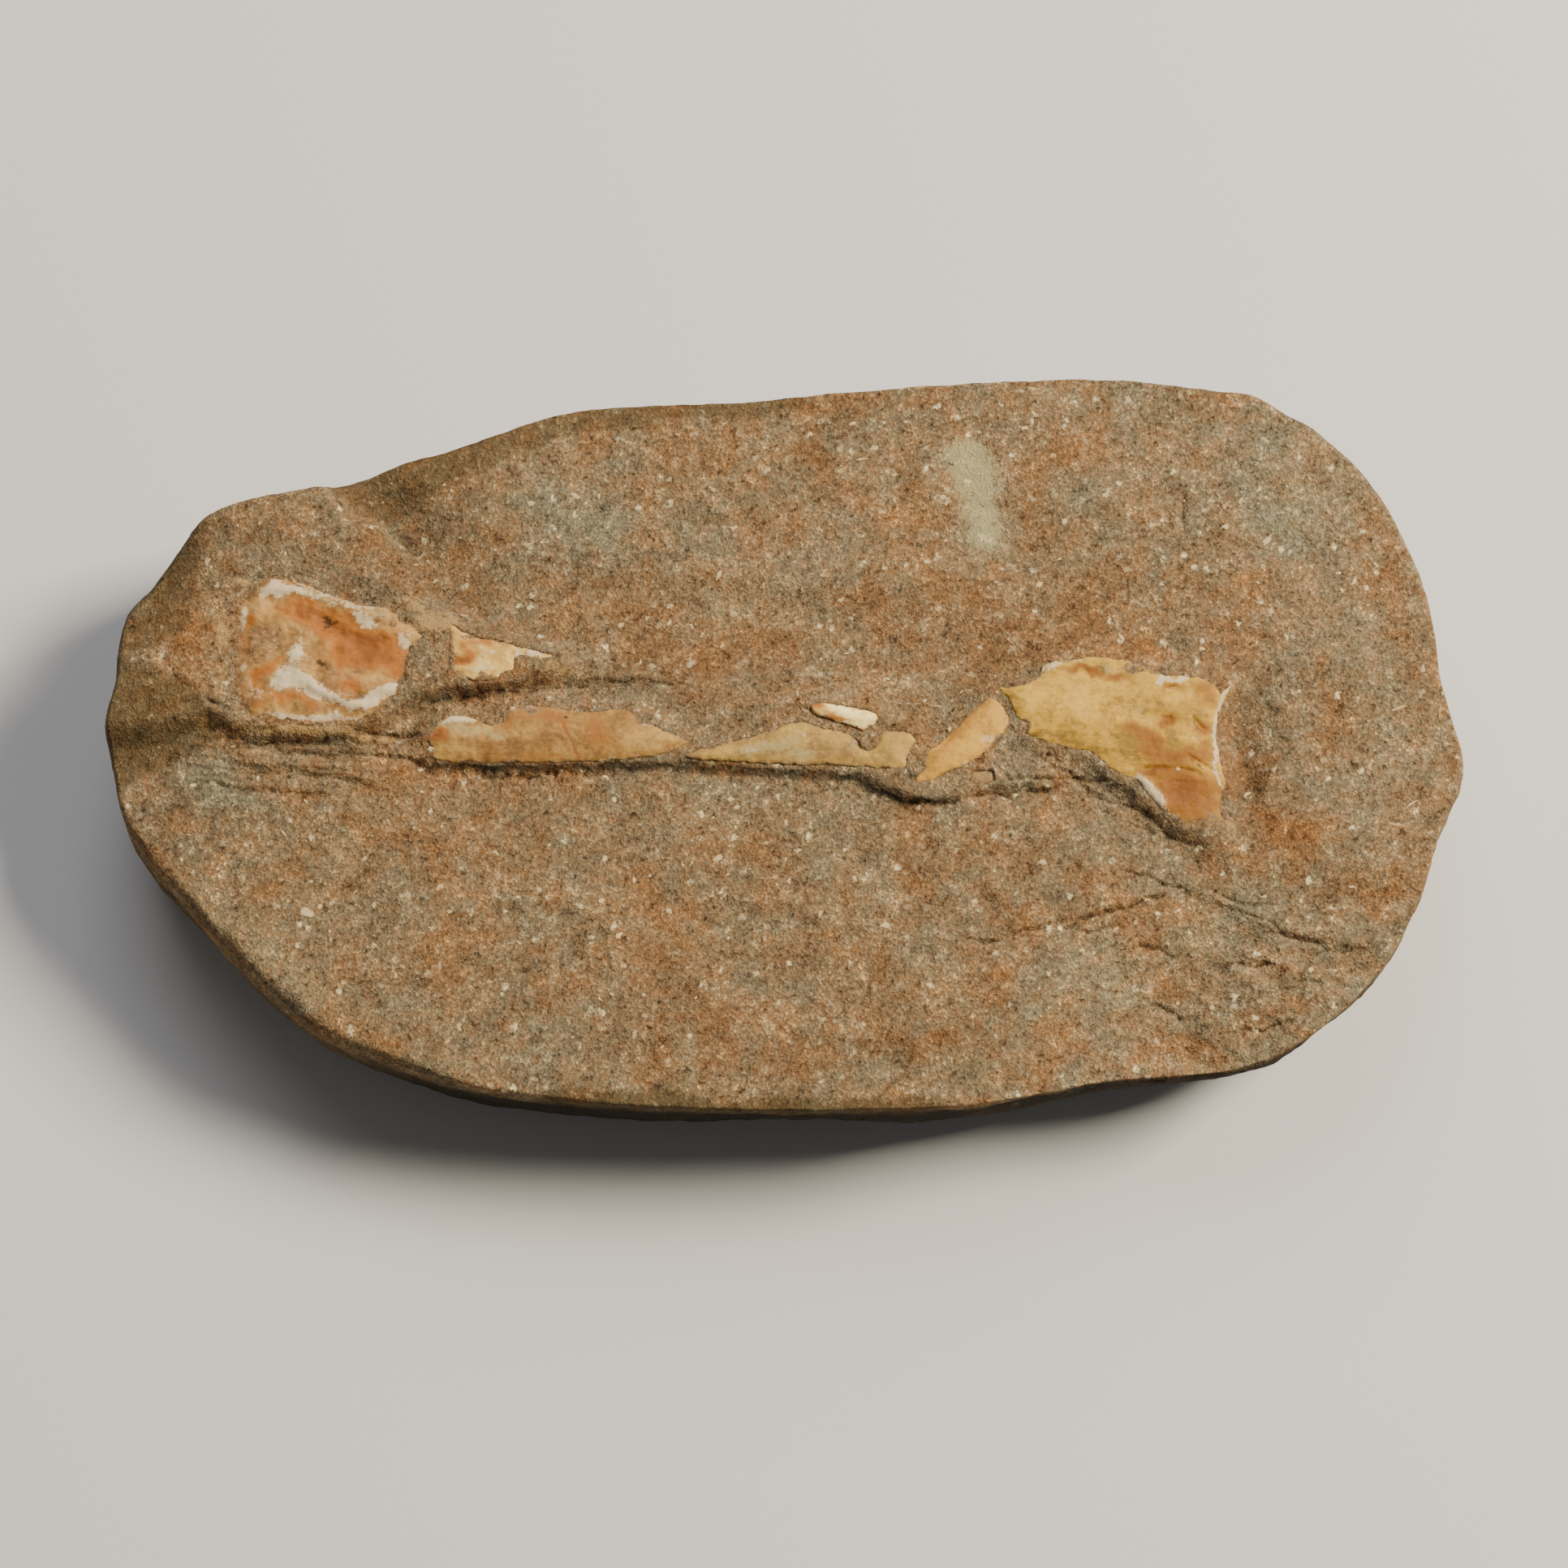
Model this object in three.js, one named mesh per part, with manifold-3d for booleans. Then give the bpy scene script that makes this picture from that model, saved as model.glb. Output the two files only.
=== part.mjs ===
// Fossil pterosaur wing bone lying in its block of shelly sandstone.
// Units are millimetres, +Z is up and the origin is on the table under the middle of the block.
// The block is one solid. The broken bone lies in it as eight separate fragments, each in a
// fitted recess, so that every fragment can be handled as a piece of its own.
import * as THREE from "three";
import { mergeVertices } from "three/addons/utils/BufferGeometryUtils.js";
import Module from "manifold-3d";

const wasm = await Module();
wasm.setup();

// Driving dimensions of the block
const halfLength = 85.2; // centre to the west and east ends
const halfWidth = 47.2; // centre to the south and north sides
const bedHeight = 23.3; // the top bedding plane above the table
const girthLevel = 0.6; // height of the widest line, as a share of the rim's height
const rimInset = 1.5; // how far the rim of the top face stands in from the girth
const wornCorner = { inset: 2.2, angle: -2.5, spread: 0.45 }; // extra inset, south-west
const footInset = 7.5; // how far the flat foot stands in from the girth
const footLobes = [ // the foot wanders in and out like a split bedding plane
  { count: 3, height: 1.3, shift: 0.6 },
  { count: 7, height: 0.8, shift: 0 },
];
const sideLobes = [ // shallow flats round the side, turned a little from ring to ring
  { count: 11, height: 0.35, turn: 1.7 },
  { count: 23, height: 0.25, turn: -2.3 },
];
const swell = { height: 0.25, runX: 17, runY: 13, shift: 0.8 }; // slow waves of the top face
const ripple = { height: 0.12, runX: 6, runY: 4 };
const fitGap = 0.3; // clearance round and under each bone fragment
const stoneColor = 0x9a8562;
const stoneRoughness = 0.95;
const boneRoughness = 0.6;

// Mesh density
const columns = 60;
const rows = 34;
const rowCrowding = 0.5; // draws the rows together along the middle, where the bone lies
const boneGridStep = 2.2;

// The widest outline of the block, from the west end round by the south, east and north.
const girthOutline = [
  [-85.2, 2.8], [-84.6, -3.7], [-83.2, -9.6], [-79.6, -16], [-74, -22.2], [-68.4, -28.4],
  [-62.8, -33.7], [-56.4, -38.2], [-47.4, -41.8], [-39, -44.4], [-27, -46.1], [-11, -47],
  [3.5, -47.2], [17.7, -46.9], [26, -46.2], [34, -44.7], [42, -43.3], [54, -42.4],
  [60.7, -40.6], [66.8, -36.5], [73.7, -30.3], [77.7, -24.1], [80.2, -17.8], [82.3, -11.6],
  [84.5, -7.2], [85.2, -2], [84, 3.2], [82.7, 9.2], [82.2, 15], [80.9, 20.4],
  [77.9, 27.2], [75.6, 32], [71.4, 36.8], [66.8, 41], [62.4, 43.2], [61.3, 44.7],
  [55.4, 45.6], [47, 46.7], [38.6, 47.2], [30.4, 46.9], [18, 46.3], [5.6, 45.3],
  [-6.8, 44], [-19.2, 43.4], [-27.6, 42.7], [-33.8, 40.8], [-42.6, 37.8], [-50, 35.6],
  [-56.8, 33.2], [-60.6, 32.6], [-65.4, 31.7], [-72, 30.1], [-75, 26.8], [-78, 22.1],
  [-80.5, 18.6], [-82.9, 15.9], [-83.7, 11.5], [-84.1, 7],
];

// Raised and sunken areas of the top face: outline, change of height, and width of the slope
// at its edge.
const terraces = [
  { // the block of stone left standing round the joint end of the bone
    outline: [
      [-80, 19], [-76, 24], [-73, 34], [-60, 34], [-54.6, 28.6], [-47.4, 23.6], [-45.6, 17.6],
      [-39, 14.6], [-30, 11.4], [-27, 9.2], [-31, 7.6], [-41, 5.8], [-50, 2.4], [-58, 0.6],
      [-68, 0.4], [-73, 5.2], [-78.6, 9.6], [-84, 13],
    ],
    rise: 2.2,
    slope: 4.4,
  },
  { // the trough cleaned out along the north side of the shaft
    outline: [
      [-24, 19], [-6, 19.5], [14, 17.5], [28, 13.5], [27, 8], [14, 6.6], [-4, 7.4], [-22, 9.4],
    ],
    rise: -0.8,
    slope: 5,
  },
  { // the lower bed south of the bone
    outline: [
      [-66, -4.5], [-46, -5], [-14, -4], [10, -6], [16, -9], [28, -7.6], [42, -7], [56, -17],
      [80, -20], [80, -60], [-80, -60], [-80, -12],
    ],
    rise: -0.5,
    slope: 3.5,
  },
];

// Scarps: lines where the stone drops to the south and climbs back more gently beyond.
const scarps = [
  { // along the foot of the shaft
    path: [
      [-46, -3.4], [-37, -3.9], [-27, -4], [-17, -3.6], [-13, -3.3], [-3, -4.1], [5, -4.4],
      [9, -5], [12.8, -7], [15.8, -8.2], [21.6, -8], [26.6, -6.6], [34, -5.9],
    ],
    depth: 2.2,
    highSide: 1.2,
    lowSide: 3.4,
    fade: 7,
  },
  { // between the upper splint and the shaft
    path: [
      [-50.4, 2.4], [-47.2, 3.7], [-42.3, 4.8], [-37.3, 5.6], [-31, 6.1], [-23, 6.9],
      [-16.8, 7.4], [-10.8, 7.2],
    ],
    depth: 1.6,
    highSide: 1,
    lowSide: 2.2,
    fade: 9,
  },
  { // under the flared end
    path: [
      [28.8, -0.2], [32.8, -1.8], [37.6, -3.2], [41.2, -5.8], [44.8, -8.8], [48.8, -11.8],
      [52.8, -13.9], [56.2, -15.4],
    ],
    depth: 2.5,
    highSide: 1.4,
    lowSide: 3.2,
    fade: 6,
  },
  { // first ledge under the joint end
    path: [[-70, -1.2], [-63.5, -0.9], [-55.4, -0.3], [-47.6, -1]],
    depth: 1,
    highSide: 0.9,
    lowSide: 2.4,
    fade: 5,
  },
  { // the diagonal step on the west shoulder
    path: [[-83, 12.8], [-79, 9.8], [-74.2, 6.2], [-71.6, 4.6], [-67.5, 2.6]],
    depth: 1.3,
    highSide: 1,
    lowSide: 3.4,
    fade: 3,
  },
  { // second ledge under the joint end
    path: [[-73, -2.6], [-63.4, -4.3], [-55.3, -5], [-47, -7.4]],
    depth: 0.8,
    highSide: 0.9,
    lowSide: 2.6,
    fade: 6,
  },
];

// Dents: centre, half sizes along and across, turn in degrees, and depth (a rise is negative).
const dents = [
  { centre: [-50, 29.5], size: [9, 3.6], turn: -45, depth: 1.4 }, // north-east of the knob
  { centre: [-54.6, 28.6], size: [1.8, 1.4], turn: 0, depth: 1 },
  { centre: [-47.6, 24.2], size: [1.6, 1.4], turn: 0, depth: 0.9 },
  { centre: [-81, 18], size: [9, 5], turn: 55, depth: 1.2 }, // worn north-west flank
  { centre: [-79, 2], size: [8, 5], turn: -38, depth: 1.2 }, // worn west shoulder
  { centre: [57.6, -1.4], size: [9, 2.8], turn: 84, depth: 1.2 }, // beyond the flared end
  { centre: [58.2, -6.9], size: [1.4, 1.2], turn: 0, depth: 1 },
  { centre: [12, 12.5], size: [1.6, 1.2], turn: 0, depth: 0.6 },
  { centre: [-10, 30], size: [34, 10], turn: 4, depth: -0.5 }, // low swell of the north bed
];

// The broken south-east corner: its upper edge, then a closing line outside the block.
const breakOutline = [
  [22.6, -46], [25.6, -39.4], [27.6, -36.4], [32.4, -30.6], [37.4, -25.2], [43.6, -22],
  [49.8, -19.2], [54, -20.8], [61.6, -24.6], [71.6, -26.4], [78, -28.4], [92, -34],
  [70, -60], [20, -60],
];
const breakStep = 0.7; // height of the lip
const breakFall = 0.17; // fall of the broken face, height over distance
const breakLedge = 4.2; // run of each ledge on the broken face
const breakRiser = 1.6; // how steep the front of each ledge is
const breakDepth = 5; // deepest drop

// Bone fragments. edge is the height of a fragment's top at its outline, crown is how much
// higher its middle stands, reach is the distance over which it rises, tilt leans the top
// (rise per millimetre along x and y), and foot is the height of its underside.
const fragments = [
  {
    name: "bone_joint_end",
    outline: [
      [-66.2, 18.9], [-65.2, 19.9], [-62.4, 20], [-60, 19.2], [-56.8, 17.6], [-52.6, 16.5],
      [-49.4, 16.1], [-46.8, 15], [-44.4, 13.8], [-42.8, 12.7], [-43, 11.2], [-45.4, 10.8],
      [-46, 9.8], [-45.9, 8.4], [-46.6, 6.8], [-48.1, 6.2], [-47.8, 5.1], [-49.2, 4],
      [-51.6, 2.2], [-54.4, 1.2], [-58, 1], [-62, 1.2], [-66.2, 2], [-68, 3.2], [-69, 5],
      [-69.4, 8], [-69.6, 13], [-69, 16.4],
    ],
    edge: 25.3,
    crown: 1.1,
    reach: 3.4,
    tilt: [-0.012, 0.01],
    foot: 21.8,
    color: 0xd9b98a,
  },
  {
    name: "bone_upper_splint",
    outline: [
      [-42, 14.6], [-40.4, 13.3], [-38.3, 12.4], [-36, 12.1], [-32.2, 11], [-28.3, 10],
      [-30.5, 9.4], [-32.6, 10], [-33.6, 9.8], [-33.7, 8.2], [-35.2, 7.8], [-35.8, 6.9],
      [-39, 6.7], [-41.4, 8.2], [-41.3, 9.9], [-41.9, 12],
    ],
    edge: 24.7,
    crown: 0.6,
    reach: 1.8,
    tilt: [-0.02, 0],
    foot: 22.2,
    color: 0xe0c48c,
  },
  {
    name: "bone_lower_shaft",
    outline: [
      [-43.8, 1.5], [-41.8, 2.7], [-38.2, 2.5], [-36.6, 1.9], [-35.2, 2.3], [-34.8, 4],
      [-33, 4.4], [-30.8, 4.4], [-28, 3.9], [-26, 3.3], [-22, 3.6], [-19.9, 3.7],
      [-18.7, 3.1], [-18, 1.9], [-16.2, 1.6], [-14, 0.4], [-11.4, -0.6], [-13.8, -1.8],
      [-16, -2.5], [-20, -2.9], [-28, -3.3], [-36, -3.3], [-42.8, -3.1], [-44.2, -2.6],
      [-43.9, -1.4], [-44.7, -0.2],
    ],
    edge: 23.5,
    crown: 1.3,
    reach: 3,
    tilt: [0.004, 0.02],
    foot: 20.9,
    color: 0xd6ab66,
  },
  {
    name: "bone_middle_shaft",
    outline: [
      [-12.4, -2.5], [-10.4, -1.7], [-7.7, -0.9], [-3.7, 0], [-1.2, 0.9], [0.4, 1.6],
      [2.4, 1.9], [4.4, 1.2], [6.8, 0.6], [8.4, 0.1], [9.6, -0.6], [9.7, -1.2], [10.4, -1.8],
      [11.2, -1.5], [11.7, -0.3], [12.4, 0.5], [14.6, 0.7], [16, 0.2], [16.6, -0.6],
      [15.8, -1.6], [15.4, -2.8], [15.4, -3.7], [13.8, -4.2], [9.3, -3.8], [0.4, -3.5],
      [-10, -3],
    ],
    edge: 23.6,
    crown: 0.9,
    reach: 2.4,
    tilt: [0, 0.03],
    foot: 20.9,
    color: 0xcfae70,
  },
  {
    name: "bone_chip",
    outline: [
      [3.2, 3.8], [4.9, 4.2], [6.9, 3.8], [10.2, 3.2], [11.7, 2.7], [11.9, 2], [11, 1.3],
      [9.9, 0.8], [7.9, 1.5], [5.4, 2.2], [3.8, 2.9],
    ],
    edge: 24.2,
    crown: 0.6,
    reach: 1,
    tilt: [-0.02, 0.04],
    foot: 22.2,
    color: 0xeadfc0,
  },
  {
    name: "bone_slanted_piece",
    outline: [
      [25.9, 4.9], [27.2, 4.1], [27.8, 2.9], [28.3, 1.5], [27.8, 0.7], [26.4, -0.8],
      [24.7, -2.2], [22.7, -3.5], [20.2, -4.7], [17.8, -5.7], [16.4, -6.2], [16.2, -5.3],
      [17.4, -4.3], [17.5, -3.1], [18, -1.7], [19.2, -1.1], [21.1, 0.7], [22.7, 2.3],
      [24.4, 4], [25.2, 4.7],
    ],
    edge: 23.7,
    crown: 1,
    reach: 2,
    tilt: [0.02, 0.03],
    foot: 20.9,
    color: 0xd2b067,
  },
  {
    name: "bone_small_splinter",
    outline: [[23.5, -4.4], [26.2, -4.3], [26.3, -5.6], [24.7, -6.2], [23.1, -5.9]],
    edge: 23,
    crown: 0.3,
    reach: 0.9,
    tilt: [0, 0.04],
    foot: 21,
    color: 0xc9a466,
  },
  {
    name: "bone_flared_end",
    outline: [
      [26.8, 6.2], [29.3, 6.3], [31.3, 7.1], [32.1, 7.6], [32.4, 9], [33.8, 9.6],
      [35.4, 9.4], [38.3, 10.2], [40.7, 10.1], [43.2, 9.8], [45.2, 9], [47.6, 7.9],
      [51.7, 7.8], [53.7, 6.6], [54.7, 5.6], [55.5, 6.6], [56.2, 6.7], [55.1, 4.8],
      [54.4, 3.2], [53.9, 0], [54.5, -3.5], [55.1, -6], [54.4, -8.1], [54.3, -9.7],
      [55, -11.9], [52.6, -12.5], [50.1, -11.4], [46.9, -9.3], [45.3, -7.6], [44.5, -6],
      [42.5, -5], [40.7, -4.2], [38.1, -2], [35.7, -1.6], [32.8, -0.8], [30.2, 0.3],
      [30.6, 1.6], [29.2, 2.3], [28.7, 3.3], [28.1, 4.7],
    ],
    edge: 23.8,
    crown: 1.5,
    reach: 4.6,
    tilt: [-0.008, 0.02],
    foot: 20.7,
    color: 0xd8b068,
  },
];

const smooth = (t) => {
  const s = THREE.MathUtils.clamp(t, 0, 1);
  return s * s * (3 - 2 * s);
};
const bell = (t) => Math.exp(-t * t);

// Distance from a point to a line of points. side is positive on the left of the line, and
// along is how far down the line the nearest place lies.
function measureTo(path, x, y) {
  const best = { distance: Infinity, side: 1, along: 0, length: 0 };
  for (let i = 0; i + 1 < path.length; i++) {
    const [ax, ay] = path[i];
    const dx = path[i + 1][0] - ax;
    const dy = path[i + 1][1] - ay;
    const run = Math.hypot(dx, dy);
    const share = THREE.MathUtils.clamp(((x - ax) * dx + (y - ay) * dy) / (run * run), 0, 1);
    const distance = Math.hypot(x - ax - share * dx, y - ay - share * dy);
    if (distance < best.distance) {
      best.distance = distance;
      best.side = Math.sign(dx * (y - ay) - dy * (x - ax)) || 1;
      best.along = best.length + share * run;
    }
    best.length += run;
  }
  return best;
}

// Distance from a point to the edge of a closed outline, positive inside it.
function depthInside(outline, x, y) {
  let inside = false;
  for (let i = 0, j = outline.length - 1; i < outline.length; j = i++) {
    const [ax, ay] = outline[i];
    const [bx, by] = outline[j];
    if (ay > y !== by > y && x < ((bx - ax) * (y - ay)) / (by - ay) + ax) {
      inside = !inside;
    }
  }
  const { distance } = measureTo([...outline, outline[0]], x, y);
  return inside ? distance : -distance;
}

// Height of the top face of the block before the recesses are cut.
function topHeight(x, y) {
  let z = bedHeight;
  z += swell.height * Math.sin(x / swell.runX + swell.shift) * Math.cos(y / swell.runY);
  z += ripple.height * Math.sin(x / ripple.runX + y / ripple.runY);
  for (const { outline, rise, slope } of terraces) {
    z += rise * smooth(depthInside(outline, x, y) / slope + 0.5);
  }
  for (const { path, depth, highSide, lowSide, fade } of scarps) {
    const { distance, side, along, length } = measureTo(path, x, y);
    const strength = smooth(along / fade) * smooth((length - along) / fade);
    z -= depth * strength * bell(distance / (side > 0 ? highSide : lowSide));
  }
  for (const { centre, size, turn, depth } of dents) {
    const angle = THREE.MathUtils.degToRad(turn);
    const along = (x - centre[0]) * Math.cos(angle) + (y - centre[1]) * Math.sin(angle);
    const across = (y - centre[1]) * Math.cos(angle) - (x - centre[0]) * Math.sin(angle);
    z -= depth * bell(Math.hypot(along / size[0], across / size[1]));
  }
  const broken = depthInside(breakOutline, x, y);
  if (broken > 0) {
    const ledges = broken / breakLedge;
    const stepped = (Math.floor(ledges) + smooth((ledges % 1) * breakRiser)) * breakLedge;
    const fall = breakStep * smooth(broken) + (breakFall * (broken + stepped)) / 2;
    z -= Math.min(fall, breakDepth);
  }
  return z;
}

// Outline of the girth by angle, in a frame that squashes the block to a unit circle.
const girthKnots = girthOutline
  .map(([x, y]) => ({
    angle: Math.atan2(y / halfWidth, x / halfLength),
    radius: Math.hypot(x / halfLength, y / halfWidth),
  }))
  .sort((a, b) => a.angle - b.angle);

function knotAt(index) {
  const count = girthKnots.length;
  const turns = Math.floor(index / count);
  const knot = girthKnots[index - turns * count];
  return { angle: knot.angle + turns * 2 * Math.PI, radius: knot.radius };
}

function girthPoint(angle) {
  let i = girthKnots.findIndex((knot) => knot.angle > angle) - 1;
  if (i < -1) {
    i = girthKnots.length - 1;
  }
  const [before, start, end, after] = [i - 1, i, i + 1, i + 2].map(knotAt);
  const run = end.angle - start.angle;
  const t = (angle - start.angle) / run;
  const slopeStart = ((end.radius - before.radius) / (end.angle - before.angle)) * run;
  const slopeEnd = ((after.radius - start.radius) / (after.angle - start.angle)) * run;
  const radius =
    start.radius * (1 + 2 * t) * (1 - t) ** 2 +
    slopeStart * t * (1 - t) ** 2 +
    end.radius * t * t * (3 - 2 * t) +
    slopeEnd * t * t * (t - 1);
  return new THREE.Vector2(
    radius * halfLength * Math.cos(angle),
    radius * halfWidth * Math.sin(angle),
  );
}

// A point of the outline moved in towards the middle of the block, square to the outline.
function insetPoint(angle, inset) {
  const step = 0.02;
  const ahead = girthPoint(wrap(angle + step));
  const behind = girthPoint(wrap(angle - step));
  const along = ahead.sub(behind).normalize();
  return girthPoint(angle).add(new THREE.Vector2(-along.y, along.x).multiplyScalar(inset));
}

const wrap = (angle) => Math.atan2(Math.sin(angle), Math.cos(angle));

// The rim stands further in at the worn south-west corner.
function rimInsetAt(angle) {
  return rimInset + wornCorner.inset * bell(wrap(angle - wornCorner.angle) / wornCorner.spread);
}

function footInsetAt(angle) {
  const wander = footLobes.map(({ count, height, shift }) => height * Math.sin(count * angle + shift));
  return wander.reduce((sum, part) => sum + part, footInset);
}

function sideWave(angle, ring) {
  const waves = sideLobes.map(({ count, height, turn }) => height * Math.sin(count * angle + turn * ring));
  return waves.reduce((sum, part) => sum + part, 0);
}

// Side of the block below the rim, from the top down: the share of the rim's or the foot's
// inset, the height as a share of the rim's height, and whether the side's flats show there.
const sideRings = [
  { rim: 0.4, foot: 0, level: 0.91, flats: 0 },
  { rim: 0, foot: 0, level: girthLevel, flats: 0 },
  { rim: 0, foot: 0.1, level: 0.36, flats: 1 },
  { rim: 0, foot: 0.4, level: 0.14, flats: 1 },
  { rim: 0, foot: 0.78, level: 0.03, flats: 1 },
  { rim: 0, foot: 1, level: 0, flats: 0 },
];

// A square grid drawn out to a disc, so that the triangles stay even out to the rim: the
// direction of a grid point from the middle, and its share of the way to the rim.
function gridDirection(i, j) {
  const u = (2 * i) / columns - 1;
  const t = (2 * j) / rows - 1;
  const v = t - (rowCrowding * Math.sin(Math.PI * t)) / Math.PI;
  const x = u * Math.sqrt(1 - (v * v) / 2);
  const y = v * Math.sqrt(1 - (u * u) / 2);
  return { angle: Math.atan2(y, x), share: Math.hypot(x, y) };
}

function blockGeometry() {
  const points = [];
  const faces = [];
  const gridIndex = (i, j) => j * (columns + 1) + i;
  for (let j = 0; j <= rows; j++) {
    for (let i = 0; i <= columns; i++) {
      const { angle, share } = gridDirection(i, j);
      const place = insetPoint(angle, rimInsetAt(angle)).multiplyScalar(share);
      points.push([place.x, place.y, topHeight(place.x, place.y)]);
    }
  }
  for (let j = 0; j < rows; j++) {
    for (let i = 0; i < columns; i++) {
      const [a, b] = [gridIndex(i, j), gridIndex(i + 1, j)];
      const [c, d] = [gridIndex(i + 1, j + 1), gridIndex(i, j + 1)];
      faces.push([a, b, c], [a, c, d]);
    }
  }
  // The rim, counter-clockwise from the south-west corner of the grid.
  const rim = [];
  const addToRim = (i, j) => {
    rim.push({ index: gridIndex(i, j), angle: gridDirection(i, j).angle });
  };
  for (let i = 0; i < columns; i++) addToRim(i, 0);
  for (let j = 0; j < rows; j++) addToRim(columns, j);
  for (let i = columns; i > 0; i--) addToRim(i, rows);
  for (let j = rows; j > 0; j--) addToRim(0, j);

  let ring = rim.map(({ index }) => index);
  sideRings.forEach(({ rim: rimShare, foot, level, flats }, number) => {
    const next = rim.map(({ index, angle }) => {
      const inset = rimShare * rimInsetAt(angle) + foot * footInsetAt(angle);
      const place = insetPoint(angle, Math.max(inset + flats * sideWave(angle, number), 0));
      return points.push([place.x, place.y, points[index][2] * level]) - 1;
    });
    ring.forEach((upper, k) => {
      const after = (k + 1) % ring.length;
      faces.push([upper, next[k], next[after]], [upper, next[after], ring[after]]);
    });
    ring = next;
  });
  // The flat foot, as a fan from its middle.
  const middle = points.push([0, 0, 0]) - 1;
  ring.forEach((index, k) => faces.push([middle, ring[(k + 1) % ring.length], index]));

  const geometry = new THREE.BufferGeometry();
  geometry.setAttribute("position", new THREE.Float32BufferAttribute(points.flat(), 3));
  geometry.setIndex(faces.flat());
  return geometry;
}

// Height of a fragment's top: it climbs from its outline to its crown, and leans.
function boneHeight(fragment, centre, x, y) {
  const { outline, edge, crown, reach, tilt } = fragment;
  const inside = THREE.MathUtils.clamp(depthInside(outline, x, y) / reach, 0, 1);
  const lean = tilt[0] * (x - centre.x) + tilt[1] * (y - centre.y);
  return edge + lean + crown * (1 - (1 - inside) ** 2);
}

// A block with the fragment's top surface, wider than the fragment on every side.
function boneTopBlock(fragment) {
  const box = new THREE.Box2().setFromPoints(fragment.outline.map((p) => new THREE.Vector2(...p)));
  const centre = box.getCenter(new THREE.Vector2());
  box.expandByScalar(1);
  const size = box.getSize(new THREE.Vector2());
  const across = Math.max(4, Math.round(size.x / boneGridStep));
  const up = Math.max(4, Math.round(size.y / boneGridStep));
  const floor = fragment.foot - 1;
  const geometry = new THREE.BoxGeometry(size.x, size.y, 1, across, up, 1);
  const position = geometry.attributes.position;
  for (let i = 0; i < position.count; i++) {
    const x = position.getX(i) + (box.min.x + box.max.x) / 2;
    const y = position.getY(i) + (box.min.y + box.max.y) / 2;
    const isTop = position.getZ(i) > 0;
    position.setXYZ(i, x, y, isTop ? boneHeight(fragment, centre, x, y) : floor);
  }
  return geometry;
}

// An upright prism on an outline, from one height to another.
function prism(outline, bottom, top) {
  const shape = new THREE.Shape(outline.map((p) => new THREE.Vector2(...p)));
  const geometry = new THREE.ExtrudeGeometry(shape, { depth: top - bottom, bevelEnabled: false });
  return geometry.translate(0, 0, bottom);
}

// An outline moved outwards by a distance, each corner along the mean of its two edges' normals.
function grow(outline, distance) {
  const clockwise = THREE.ShapeUtils.area(outline.map((p) => new THREE.Vector2(...p))) < 0;
  const outward = clockwise ? -1 : 1;
  return outline.map((point, i) => {
    const here = new THREE.Vector2(...point);
    const before = new THREE.Vector2(...outline.at(i - 1));
    const after = new THREE.Vector2(...outline[(i + 1) % outline.length]);
    const inEdge = here.clone().sub(before).normalize();
    const outEdge = after.sub(here).normalize();
    const mean = new THREE.Vector2(inEdge.y + outEdge.y, -inEdge.x - outEdge.x).normalize();
    const miter = Math.min(1 / Math.max(mean.dot(new THREE.Vector2(inEdge.y, -inEdge.x)), 0.1), 1.6);
    return here.addScaledVector(mean, outward * distance * miter).toArray();
  });
}

function toSolid(geometry) {
  const bare = new THREE.BufferGeometry();
  bare.setAttribute("position", geometry.attributes.position.clone());
  bare.setIndex(geometry.index);
  const merged = mergeVertices(bare, 1e-4);
  return new wasm.Manifold(new wasm.Mesh({
    numProp: 3,
    vertProperties: new Float32Array(merged.attributes.position.array),
    triVerts: new Uint32Array(merged.index.array),
  }));
}

function toGeometry(solid) {
  const mesh = solid.getMesh();
  const geometry = new THREE.BufferGeometry();
  geometry.setAttribute("position", new THREE.BufferAttribute(mesh.vertProperties, 3));
  geometry.setIndex(new THREE.BufferAttribute(mesh.triVerts, 1));
  geometry.computeVertexNormals();
  return geometry;
}

function namedMesh(name, solid, color, roughness) {
  const material = new THREE.MeshStandardMaterial({ color, roughness, metalness: 0 });
  const mesh = new THREE.Mesh(toGeometry(solid), material);
  mesh.name = name;
  return mesh;
}

const specimen = new THREE.Group();
const aboveAll = bedHeight + 10;
let matrix = toSolid(blockGeometry());
for (const fragment of fragments) {
  const body = toSolid(prism(fragment.outline, fragment.foot, aboveAll));
  const bone = body.intersect(toSolid(boneTopBlock(fragment)));
  specimen.add(namedMesh(fragment.name, bone, fragment.color, boneRoughness));
  const recess = prism(grow(fragment.outline, fitGap), fragment.foot - fitGap, aboveAll);
  matrix = matrix.subtract(toSolid(recess));
}
specimen.add(namedMesh("matrix_block", matrix, stoneColor, stoneRoughness));

export default specimen;
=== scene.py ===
import math
import bpy
import numpy as np
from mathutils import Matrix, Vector
from mathutils.geometry import delaunay_2d_cdt


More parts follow.
